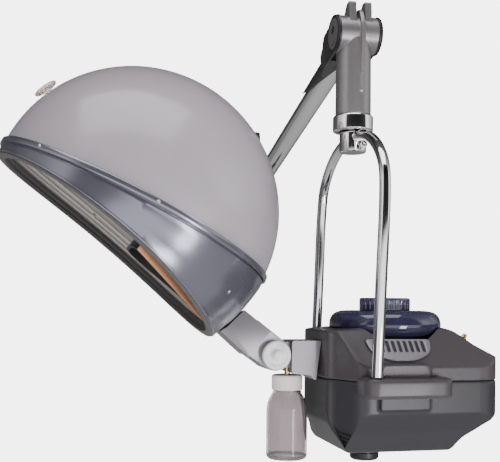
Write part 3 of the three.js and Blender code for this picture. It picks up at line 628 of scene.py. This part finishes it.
def make_liner():
    """Inner skin, with soft folds above the channel."""
    section = [(LINER_OUTSIDE, 0, 1.0), (184.6, 0, 1.0), (184.6, 0, 13.5)]
    for fold in (15, 21, 28):
        section += [(184.4, 0, fold), (183.2, 0, fold + 1.6), (184.4, 0, fold + 3.2)]
    section.append((LINER_INSIDE, 0, 36))
    rings = []
    top = 24
    for k in range(AROUND):
        azimuth = 2 * math.pi * k / AROUND
        inner = [rim_point(azimuth, *point) for point in section]
        start = math.asin(inner[-1].z / LINER_INSIDE)
        for radius, order in ((LINER_INSIDE, range(1, top)), (LINER_OUTSIDE, reversed(range(0, top)))):
            for level in order:
                height = start + (math.pi / 2 - start) * level / top
                inner.append(on_sphere(radius, azimuth, height))
        rings.append(inner)
    skin = bmesh.new()
    grid = [[skin.verts.new(v) for v in ring] for ring in rings]
    crown = len(section) + top - 2
    inner_pole = skin.verts.new((0, 0, LINER_INSIDE))
    outer_pole = skin.verts.new((0, 0, LINER_OUTSIDE))
    size = len(grid[0])
    for k in range(AROUND):
        a, b = grid[k], grid[(k + 1) % AROUND]
        for j in range(size):
            n = (j + 1) % size
            if j == crown:
                skin.faces.new([a[j], b[j], inner_pole])
                skin.faces.new([b[n], a[n], outer_pole])
            else:
                skin.faces.new([a[j], b[j], b[n], a[n]])
    bmesh.ops.recalc_face_normals(skin, faces=skin.faces[:])
    show("hood_inner_skin", skin, "hood", "liner", "hood_liner", HOOD, angle=50)


def make_hood_fittings():
    on_bead, on_trim = (195.5, 1, -4.6), (192.6, 0.45, 0)
    for name, azimuth, spot in (
        ("trim_screw_middle", 93, on_bead), ("trim_screw_rear", 140, on_trim),
        ("trim_screw_front", 46, on_bead), ("trim_screw_far_middle", -93, on_bead),
        ("trim_screw_far_rear", -140, on_trim), ("trim_screw_far_front", -46, on_bead),
        ("trim_screw_nose", 0, on_bead),
    ):
        at = rim_point(math.radians(azimuth), *spot)
        screw(name, at, at, 2.6, "hood", place=HOOD)
    for name, azimuth in (("inner_screw_far", -75), ("inner_screw_near", 75), ("inner_screw_front", -15)):
        at = rim_point(math.radians(azimuth), 184.3, 0, 25)
        screw(name, at, -at, 2.8, "hood", place=HOOD)

    # Slotted steam tray and the copper reflector beside it.
    pan = [(-160, -50, 40), (-160, 50, 40), (-20, 72, 50), (-20, -72, 50)]
    hollow = [(-156, -46, 38), (-156, 46, 38), (-24, 68, 48), (-24, -68, 48)]
    tray = boolean(prism(pan, "XY", -42, -30, 10), "DIFFERENCE", prism(hollow, "XY", -45, -33, 10))
    tray = boolean(tray, "DIFFERENCE", *[
        block(row * 22 - 120, row * 22 - 106, step * 13 - 2.5, step * 13 + 2.5, -50, -20)
        for row in range(4) for step in range(-3, 4)
    ])
    show("steam_tray_pan", soften(tray, 0.8, 2), "hood", "black_plastic", "steam_tray", HOOD)
    strip = boolean(
        prism([(-150, 71, 2), (-30, 98, 2), (-28, 104, 2), (-150, 77, 2)], "XY", -64, -28), "INTERSECT",
        prism([(-160, -59), (-20, -46), (-20, -20), (-160, -20)], "XZ", -200, 200),
    )
    show("copper_reflector", soften(strip, 1.2, 3), "hood", "copper", "copper_strip", HOOD)

    elevation = math.radians(13)
    seat = HOOD_RADIUS + 0.3
    knob_place = (
        HOOD
        @ Matrix.Translation((seat * math.cos(elevation), 0, seat * math.sin(elevation)))
        @ Matrix.Rotation(math.pi / 2 - elevation, 4, "Y")
    )
    knob = lathe([
        (0, 0), (6, 0, 0.5), (6, 5, 1.5), (14.5, 6.5, 1), (17, 8.5, 1.5), (15.5, 11, 1.2), (0, 11.6),
    ])
    show("sight_knob_clear", knob, "hood", "clear", "sight_knob", knob_place, look=FROSTED)
    refined("hood_neck", 1.6)
    refined("tilt_nut", 0.8, 2)
    refined("steam_duct", 0.5, 2)


# ---------- case ----------
def mirrored(points):
    return points + [(-p[0], *p[1:]) for p in reversed(points)]


def case_part(plan, side, end, low, high):
    whole = prism(plan, "XY", low, high, 8)
    whole = boolean(whole, "INTERSECT", prism(side, "XZ", -200, 200, 8))
    return boolean(whole, "INTERSECT", prism(end, "YZ", -200, 300, 8))


def boss_pair(outline):
    """The two bosses that the handles stand on."""
    return [prism(outline, "XZ", *span) for span in ((-111, -90), (90, 111))]


def make_case():
    front, rear, half, nose = -53, 180, 105, 56
    outline = [(front, -nose, 4), (-44, -60, 6), (-24, -half, 16), (rear, -half, 34)]
    plan = outline + [(x, -y, r) for x, y, r in reversed(outline)]
    upper_side = [
        (front - 5, -1), (front + 1, 65, 6), (20, 71, 4), (102, 73, 10), (127, 65, 6), (150, 46, 4),
        (177, 30, 4), (rear + 5, -1),
    ]
    upper_end = mirrored([(half + 5, -1), (half + 2, 17, 7), (74, 54, 5), (60, 69, 6), (20, 72)])
    upper = case_part(plan, upper_side, upper_end, 0, 90)
    nose_block = prism([(front, -nose, 4), (6, -nose), (6, nose), (front, nose, 4)], "XY", 0, 64.5)
    bosses = boss_pair([(3, 0, 2), (3, 23, 8), (72, 23, 8), (72, 0, 2)])
    upper = boolean(upper, "UNION", nose_block, *bosses)
    upper = moulded(upper, 1.5, 9)
    recess = lathe([(0, 51.7), (81, 51.7), (81, 130), (0, 130)], 96)
    recess.transform(Matrix.Translation((TANK_X, 0, 0)))
    pipe = rod(PIPE_BORE, (front - 12, 0, 30), (front + 12, 0, 30))
    upper = boolean(upper, "DIFFERENCE", recess, pipe)
    show("case_top_shell", upper, "head", "case_upper", "upper_case", angle=42)

    lower_side = [
        (front - 5, 1), (front + 2, -59, 4), (-30, -98, 4), (118, -98, 5), (129, -78, 6),
        (151, -62, 6), (rear, -44, 10), (rear + 5, 1),
    ]
    lower_end = mirrored([(half + 5, 1), (half + 1, -40, 6), (97, -66, 8), (74, -98, 5)])
    lower = case_part(plan, lower_side, lower_end, -99, -0.3)
    bosses = boss_pair([(3, -38, 2), (3, -0.3, 2), (72, -0.3, 2), (72, -38, 2)])
    lower = boolean(lower, "UNION", *bosses)
    lower = moulded(lower, 1.5, 9)
    inlet_hole = block(rear - 10, rear + 5, -44, -22, -33, -19)
    switch_hole = block(rear - 10, rear + 5, -14, 6, -36, -20)
    timer_hole = rod(4.3, (rear - 12, 22, -26), (rear + 5, 22, -26))
    openings = [inlet_hole, switch_hole, timer_hole]
    lower = boolean(lower, "DIFFERENCE", *openings)

    # A louvred pocket in the three-sided facet under each side of the nose, floored with a black sheet that
    # is painted shade for the dark inside of the case.
    corners = [Vector((-51, -56, -59)), Vector((-30, -74, -98)), Vector((-24, -97, -66))]
    centre = (corners[0] + corners[1] + corners[2]) / 3
    outward = (corners[1] - corners[0]).cross(corners[2] - corners[0]).normalized()
    if outward.dot(centre) < 0:
        outward.negate()
    slat_depth, slat_radius, slat_reach = 1.9, 0.9, 0.66
    pockets, painted_shade_backs, slats = [], [], []
    for side in (1, -1):
        mirror = Matrix.Scale(side, 4, (0, 1, 0))

        def facet(share, low, high):
            ring = [centre + (corner - centre) * share for corner in corners]
            wedge = loft([[p + outward * level for p in ring] for level in (low, high)])
            wedge.transform(mirror)
            bmesh.ops.recalc_face_normals(wedge, faces=wedge.faces[:])
            return wedge

        pockets.append(facet(0.72, -3.5, 8))
        # Thin black sheet at the pocket's floor: painted shade standing in for the shaded inside of the case.
        painted_shade_backs.append(facet(0.70, -3.45, -2.9))
        for share in (0.3, 0.55, 0.8):
            start = centre + (corners[0].lerp(corners[1], share) - centre) * slat_reach
            end = centre + (corners[2].lerp(corners[1], share) - centre) * slat_reach
            slat = tube([start - outward * slat_depth, end - outward * slat_depth], slat_radius, 12)
            slat.transform(mirror)
            bmesh.ops.recalc_face_normals(slat, faces=slat.faces[:])
            slats.append(slat)
    lower = boolean(lower, "DIFFERENCE", *pockets)
    show("case_base_shell", lower, "head", "case_lower", "lower_case", angle=42)
    show("louvre_painted_shade", merged(*painted_shade_backs), "head", "black_plastic")
    show("louvre_slats", merged(*slats), "head", "case_lower")


def ridged(profile, ridges, depth, low, high, segments):
    """Turned cap whose side is ribbed between two heights."""
    rings = []
    for radius, height in profile:
        ring = []
        for k in range(segments):
            angle = 2 * math.pi * k / segments
            wave = max(0.0, math.cos(ridges * angle)) ** 0.6 * depth if low <= height <= high else 0
            flat = radius - wave
            ring.append(Vector((flat * math.cos(angle), flat * math.sin(angle), height)))
        rings.append(ring)
    return loft(rings)


def moved(bm, x=0, y=0, z=0):
    bm.transform(Matrix.Translation((x, y, z)))
    return bm


def slot_row(half, low, high, corner, start, end):
    """Nine upright slots side by side, as solids."""
    slots = []
    for step in range(-4, 5):
        x = step * 8.3
        corners = ((x - half, low), (x + half, low), (x + half, high), (x - half, high))
        slots.append(prism([(*point, corner) for point in corners], "XY", start, end, 6))
    return slots


def make_grilles():
    slope = math.atan2(35, 31)
    fan_outline = [(-46, 0, 6), (46, 0, 6), (42, -22, 10), (20, -36, 14), (-20, -36, 14), (-42, -22, 10)]
    for side, node in ((-1, "near_vent_grille"), (1, "far_vent_grille")):
        fan = prism(fan_outline, "XY", 0, 2.2, 10)
        slots = slot_row(2.5, -22, -2.5, 2.4, 0.5, 5)
        plate = soften(boolean(fan, "DIFFERENCE", *slots), 0.5, 3)
        place = Matrix.Translation((38, -76.6, 53.1)) @ Matrix.Rotation(slope, 4, "X")
        if side > 0:
            place = Matrix.Translation((76, 0, 0)) @ Matrix.Rotation(math.pi, 4, "Z") @ place
        show(node + "_plate", plate, "head", "satin_silver", node, place)
        # Black sheets in the slot floors: painted shade for the dark inside of the case behind the grille.
        painted_shade_backs = slot_row(2.3, -21.8, -2.7, 2.2, 0.55, 0.8)
        show(node + "_painted_slot_shade", merged(*painted_shade_backs), "head", "black_plastic", place=place)


def make_foot():
    foot = lathe([
        (0, -119), (18, -119, 0.6), (20.5, -116.5, 1.5), (20.5, -109, 0.4), (19.3, -108.4, 0.2),
        (19.3, -106.6, 0.2), (20.5, -106, 0.4), (20.5, -98.2), (0, -98.2),
    ], 72)
    show("base_spigot_turned", moved(foot, 21), "head", "black_plastic", "base_spigot")


def make_handles():
    for side, node in ((-1, "near_handle"), (1, "far_handle")):
        inner, outer, width, left, right = 105.3, 147, 23, -30, 92
        points = [
            (left, -inner), (left + 2, -outer, 17), (right - 2, -outer, 17), (right, -inner),
            (right - 17, -inner), (right - 19, -outer + width, 9),
            (left + 34, -outer + width, 9), (left + 32, -inner),
        ]
        loop = soften(prism(points, "XY", -19, 7, 12), 5.5, 5, 50)
        socket = rod(8.2, (-12.6, -LEG_Y, -14.5), (-11, -LEG_Y, 12))
        loop = boolean(loop, "DIFFERENCE", socket)
        if side > 0:
            loop.transform(Matrix.Scale(-1, 4, (0, 1, 0)))
            bmesh.ops.reverse_faces(loop, faces=loop.faces[:])
        show(node + "_grip", loop, "head", "case_upper", node, angle=40)
        seal = lathe([(7.7, 7.05), (10.5, 7.05, 0.5), (10.2, 8.4, 0.8), (8.0, 8.9, 0.3), (7.7, 8.4)], 40)
        hand = "near" if side < 0 else "far"
        show(hand + "_leg_seal", moved(seal, -11.7, side * LEG_Y), "head", "rubber")


def make_rear_fittings():
    relief = lathe([
        (0, 0), (3, 0), (3, 3.5, 0.3), (6.3, 3.6, 0.4), (6.3, 6, 0.4), (5.2, 6.4),
        (5.2, 10.4, 0.8), (3.4, 11.5, 0.6), (3.4, 15, 0.8), (2.4, 16, 0.5), (0, 16),
    ], 40)
    relief_place = Matrix.Translation((153, -28, 46)) @ Matrix.Rotation(math.radians(35), 4, "Y")
    show("relief_valve_turned", relief, "head", "brass", "relief_valve", relief_place)
    for node in ("control_panel", "mains_inlet", "power_switch"):
        refined(node, 0.5, 3)
    profile = [(13, 0), (13, 2), (12.6, 3), (11.4, 13), (10.6, 13.6), (9.5, 13.8)]
    knob = ridged(profile, 24, 0.5, 2.5, 13.2, 192)
    mark = block(-1.5, 1.5, 2, 12, 13.6, 15.2)
    timer_place = Matrix.Translation((182.6, 22, -26)) @ Matrix.Rotation(math.pi / 2, 4, "Y")
    mark.transform(Matrix.Rotation(math.pi, 4, "Z"))
    knob = merged(knob, soften(mark, 0.4, 2))
    show("timer_knob_grip", knob, "timer", "black_plastic", "timer_knob", timer_place)
    for corner, (y, z) in enumerate(((-44, -17.5), (44, -17.5), (-44, -34.5), (44, -34.5))):
        screw(f"panel_screw_{corner + 1}", (182.3, y, z), (1, 0, 0), 2.2, "head")


def make_tank():
    outer = [
        (0, 52), (56, 52, 6), (71, 57.5, 10), (79, 66, 10), (79, 78, 12), (73.5, 88, 8), (62, 92, 8),
        (31, 92.2, 0.8), (30, 100, 0.8), (27, 100, 0.5), (27, 89, 1), (53, 89, 6), (68, 86, 6),
        (76, 77, 9), (76, 67, 9), (69, 60.5, 8), (55, 55, 5), (0, 55),
    ]
    shell = moved(lathe(outer, 96, steps=5), TANK_X)
    show("water_tank_shell", shell, "tank", "tank", "water_tank", angle=50)
    profile = [
        (35.5, 92.3), (36, 92.8), (36, 94.2), (36, 94.4), (36, 100), (36, 106), (36, 107.2),
        (35.6, 108.8), (34.6, 109.7), (33, 110), (22, 110), (21, 109.2), (18, 109.0),
    ]
    cap = moved(ridged(profile, 30, 1.1, 94.3, 107, 240), TANK_X)
    show("tank_cap_ribbed", cap, "tank_lid", "tank", "tank_cap", angle=35)


def make_bottle():
    profile = [
        (0, -115), (25, -115, 2.5), (28.5, -111.5, 3), (28.5, -46, 9), (27, -36, 8), (22.5, -27, 6),
        (20, -23.6, 1), (20, -21.2, 0.5), (19, -20.4, 0.4), (19, -6), (17, -6), (17, -22, 1),
        (19.4, -26.5, 3), (24.6, -35.5, 6), (26.4, -46, 8), (26.4, -110, 3), (22, -112.6, 3), (0, -111.4),
    ]
    bottle = moved(lathe(profile, 96, steps=6), BOTTLE_X)
    show("bottle_blown", bottle, "jar", "clear", "bottle", angle=50)
    lid = ridged([
        (19.3, -19), (20.9, -19), (21.5, -18.3), (21.5, -16.6), (21.5, -16.4), (21.5, -10), (21.5, -4),
        (21.5, -2.6), (21.5, -1.2), (20.9, 0.8), (19.6, 1.8), (17, 2.0), (6.9, 2.0),
    ], 40, 0.55, -16.5, -2.8, 240)
    show("bottle_cap_ribbed", moved(lid, BOTTLE_X), "head", "cream", "bottle_cap", angle=35)
    nozzle = lathe([(2, -8), (6.5, -8), (6.5, 1.9), (5.6, 2.2, 0.2), (3.9, 2.3), (3.9, 20), (2, 20)], 32)
    show("drain_nozzle_turned", moved(nozzle, BOTTLE_X), "head", "brass", "drain_nozzle")


def make_tilt():
    radius, tongue, cheek = 22, 20, 29
    x, z = TILT_X, TILT_Z
    profile = [(-53.3, 50, 2), (-60, -5, 3), (-69, 3, 3), (-94.5, 5, 4), (-94.5, 50, 4)]
    hub = rod(radius, (x, -tongue, z), (x, tongue, z), 72)
    neck = block(x, -80, -tongue, tongue, z - 18, z + 17)
    bracket = boolean(prism(profile, "XZ", -cheek, cheek, 6), "UNION", neck, hub)
    pivot_bore = rod(8.3, (x, -40, z), (x, 40, z))
    pipe_bore = rod(PIPE_BORE, (-82, 0, 30), (-45, 0, 30))
    drain_bore = rod(4.3, (BOTTLE_X, 0, -20), (BOTTLE_X, 0, 32))
    bracket = soften(boolean(bracket, "DIFFERENCE", pivot_bore, pipe_bore, drain_bore), 1.5, 4)
    show("tilt_bracket_cast", bracket, "head", "satin_silver", "tilt_bracket", angle=38)
    knob = lathe([
        (0, 0), (18.6, 0, 0.8), (19.4, 3, 1), (19.6, 10.5, 1.8), (17.6, 11.9, 0.8), (14.8, 11.9, 0.5),
        (13.6, 10.6, 0.5), (8.6, 10.4, 0.8), (7.9, 12, 0.5), (6.6, 21.2, 1.2), (0, 21.6),
    ], 96)
    shaft = rod(8, (0, 0, -58), (0, 0, 0.1))
    place = Matrix.Translation((x, -cheek - 0.3, z)) @ Matrix.Rotation(math.pi / 2, 4, "X")
    show("tilt_knob_turned", merged(knob, shaft), "clamp_knob", "white", "tilt_knob", place, angle=38)


def make_hanger():
    crown, shoulder, lean, bar = 336, 333, -12, 7.5
    side = [(76, 322), (106, 303), (127, 277), (LEG_Y, 240), (LEG_Y, 120), (LEG_Y, -14)]

    def on_bail(y, z):
        return (lean * (1 - z / crown), y, z)

    route = [on_bail(-y, z) for y, z in reversed(side)] + [on_bail(-40, shoulder), (0, 0, crown)]
    route += [on_bail(40, shoulder)] + [on_bail(y, z) for y, z in side]
    line = catmull(route, 14)
    show("bail_bent_tube", tube(line, bar, 48), "head", "chrome", "bail", angle=50)
    shank = lathe([
        (0, 315), (17.6, 315, 0.4), (19, 316.4, 0.4), (19, 342.8, 0.4), (17.6, 344, 0.2), (17.6, 366),
        (12, 366.2), (12, 424), (0, 424),
    ], 96)
    screw_hole = rod(3.3, (9, -24, 324), (9, -9, 324))
    shank = boolean(shank, "DIFFERENCE", tube(line, bar + 0.4, 48), screw_hole)
    show("swivel_pin_turned", shank, "head", "chrome", "swivel_pin", angle=35)
    set_screw = lathe([(0, 0), (5, 0, 0.4), (5, 2.6, 0.9), (0, 2.9)], 32)
    set_screw = boolean(set_screw, "DIFFERENCE", lathe([(0, 1), (2.4, 1), (2.4, 5), (0, 5)], 6))
    stem = rod(3, (0, 0, -9), (0, 0, 0.1), 32)
    place = Matrix.Translation((9, -19.6, 324)) @ Matrix.Rotation(math.pi / 2, 4, "X")
    show("bail_set_screw", merged(set_screw, stem), "head", "steel", "bail_screw", place)


def make_knuckle():
    top = 524.5

    def across(radius, x0, x1):
        return rod(radius, (x0, 0, BARREL_Z), (x1, 0, BARREL_Z), 72)

    lug = [(-23, BARREL_Z), (-20, top, 4), (-6, top, 5), (25, BARREL_Z)]
    lugs = [prism(lug, "YZ", *span, 8) for span in ((-13.5, -3), (9.5, 19.5))]
    rib_outline = [(0, 400), (-25.5, 396, 3), (-30.5, 470, 6), (-30, 492, 10), (-18, 515, 10), (0, 515)]
    rib = prism(rib_outline, "YZ", 1.5, 7.5, 8)
    post = rod(25.2, (0, 0, 367), (0, 0, BARREL_Z), 96, 24.6)
    casting = moulded(merged(across(26, -26, 30), post, *lugs, rib), 0.8, 6)
    casting = boolean(casting, "DIFFERENCE", across(10.3, -40, 40), rod(12.3, (0, 0, 360), (0, 0, 425)))
    show("knuckle_casting", casting, "knuckle", "cast_grey", "knuckle_post", angle=40)
    collar = lathe([
        (19.4, 344.4), (27.2, 344.4, 0.6), (28.5, 346, 0.6), (28.5, 364.8, 0.6), (27.2, 366.6, 0.5),
        (19.4, 366.6),
    ], 96)
    show("swivel_collar_turned", collar, "knuckle", "chrome", "swivel_collar", angle=35)
    out = Matrix.Rotation(-math.pi / 2, 4, "Y")
    left = Matrix.Translation((-29, 0, BARREL_Z)) @ out
    ring = lathe([(22, 0), (26.2, 0, 0.4), (26.2, 1.5, 0.8), (24.8, 2.4, 0.7), (22, 2.3, 0.3)], 96)
    show("left_cap_ring_moulded", ring, "lift_arm", "rubber", "left_cap_ring", left)
    face = lathe([(0, 0), (21.7, 0), (21.7, 1.9, 0.5), (20.6, 2.3, 0.4), (0, 2.3)], 96)
    hexagon = lathe([(0, 1), (6.6, 1), (6.6, 6), (0, 6)], 6)
    hexagon.transform(Matrix.Translation((5, 0, 0)))
    turns = [math.radians(150 + 6 * k) for k in range(15)]
    near, far = [[(radius * math.cos(a), radius * math.sin(a)) for a in turns] for radius in (15.2, 17.0)]
    groove = prism(near + far[::-1], "XY", 1.5, 6)
    face = boolean(face, "DIFFERENCE", hexagon, groove)
    show("left_cap_disc", face, "lift_arm", "cast_grey", "left_cap", left)
    # Black disc at the floor of the hex hole: painted shade in the recess.
    painted_hex_shade = lathe([(0, 0.6), (6.5, 0.6), (6.5, 1.4), (0, 1.4)], 6)
    painted_hex_shade.transform(Matrix.Translation((5, 0, 0)))
    show("left_cap_painted_hex_shade", painted_hex_shade, "lift_arm", "black_plastic", place=left)
    right = Matrix.Translation((33, 0, BARREL_Z)) @ Matrix.Rotation(math.pi / 2, 4, "Y")
    cap = lathe([(0, 0), (26.2, 0, 0.3), (26.2, 1.3, 0.8), (24.6, 2.2, 0.7), (0, 2.4)], 96)
    show("right_cap_moulded", cap, "lift_arm", "rubber", "right_cap", right)
    refined("knuckle_pin", 0.5, 2)


def make_arm():
    reach, rise = 600, 135
    length, angle = math.hypot(reach, rise), math.atan2(rise, reach)
    lever = Matrix.Translation((0, 0, BARREL_Z)) @ Matrix.Rotation(-angle, 4, "X")
    lengthwise = Matrix.Rotation(-math.pi / 2, 4, "X")
    far_end = length - 22
    pipe = lathe([(14, 62), (16.5, 62, 0.3), (16.5, far_end, 0.3), (14, far_end)], 96)
    show("arm_chrome_tube", pipe, "lift_arm", "chrome", "arm_tube", lever @ lengthwise, angle=40)

    # Fork: two cheeks on a bridge, tapered to a slant-cut socket round the tube.
    left, right = -28.7, 32.7
    plate = [(-26, -26, 26), (-26, 26, 26), (40, 24, 10), (96, 17, 4), (96, -17, 4), (40, -24, 10)]
    hubs = [prism(plate, "YZ", left, -25, 16), prism(plate, "YZ", 29, right, 16)]
    bridge = block(left, right, 44, 96, -17, 17)
    taper_plan = [(left, -30), (left, 47), (-19.5, 97), (19.5, 97), (right, 47), (right, -30)]
    taper = prism(taper_plan, "XY", -30, 30)
    yoke = boolean(boolean(hubs[0], "UNION", hubs[1], bridge), "INTERSECT", taper)
    socket = rod(20, (0, 60, 0), (0, 205, 0), 72)
    slant = prism([(46, -30), (209, -30), (209, 20), (100, -1), (62, -9), (53, -24)], "YZ", -40, 40)
    slant.transform(Matrix.Rotation(math.radians(-50), 4, "Y"))
    fork = moulded(boolean(boolean(yoke, "UNION", socket), "DIFFERENCE", slant), 0.8, 5)
    tube_bore = rod(16.8, (0, 61.7, 0), (0, 215, 0), 72)
    knuckle_gap = block(-26.3, 30.3, -40, 43, -40, 40)
    strut_bore = rod(13.8, (0, 30, 0), (0, 70, 0))
    fork = boolean(fork, "DIFFERENCE", tube_bore, knuckle_gap, strut_bore)
    show("fork_casting", fork, "lift_arm", "cast_black", "front_fork", lever, angle=40)
    for node in ("rear_fork", "swivel_yoke", "wall_bracket"):
        refined(node, 1.2, 3)
    for node in ("rear_pivot_pin", "spindle_cap"):
        refined(node, 0.6, 2)

    spindle = lathe([
        (0, -110), (14.6, -110, 0.5), (16, -108.6, 0.5), (16, 166.8, 0.5), (14.8, 168, 0.3), (0, 168),
    ], 72)
    spindle = moved(spindle, 0, -80 - HEAD_Y, -HEAD_Z)
    show("spindle_turned", spindle, "wall_mount", "cast_black", "spindle", angle=35)
    for level, height in (("upper", 98), ("lower", -98)):
        for hand, x in (("left", -36), ("right", 36)):
            node = f"wall_screw_{level}_{hand}"
            at = (x, -10.3 - HEAD_Y, height - HEAD_Z)
            screw(node + "_head", at, (0, -1, 0), 6.5, "wall_mount", height=4)
            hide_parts(node)


make_grilles()
make_foot()
make_handles()
make_rear_fittings()
make_tank()
make_bottle()
make_tilt()
make_hanger()
make_knuckle()
make_arm()
make_dome()
make_rim()
make_liner()
make_hood_fittings()
make_case()

# ---------- floor ----------
floor_mesh = bpy.data.meshes.new("floor")
floor_corners = [(x * FLOOR_HALF, y * FLOOR_HALF, 0) for x, y in ((-1, -1), (1, -1), (1, 1), (-1, 1))]
floor_mesh.from_pydata(floor_corners, [], [(0, 1, 2, 3)])
floor = bpy.data.objects.new("floor", floor_mesh)
bpy.context.scene.collection.objects.link(floor)
floor.location = (0, 0, FLOOR_Z)
floor_paint = surface("floor_paint", (0.95, 0.95, 0.95), 0.9, amount=0.01)
floor_tree = floor_paint.node_tree
floor_shader = floor_tree.nodes["Principled BSDF"]
floor_shader.inputs["Emission Color"].default_value = (1, 1, 1, 1)
floor_seen = floor_tree.nodes.new("ShaderNodeLightPath")
floor_glow = floor_tree.nodes.new("ShaderNodeMath")
floor_glow.operation = "MULTIPLY_ADD"
glow_shown, glow_reflected = 1.1, 0.16
floor_glow.inputs[1].default_value = glow_shown
floor_glow.inputs[2].default_value = glow_reflected
floor_tree.links.new(floor_seen.outputs["Is Camera Ray"], floor_glow.inputs[0])
floor_tree.links.new(floor_glow.outputs[0], floor_shader.inputs["Emission Strength"])
floor_mesh.materials.append(floor_paint)
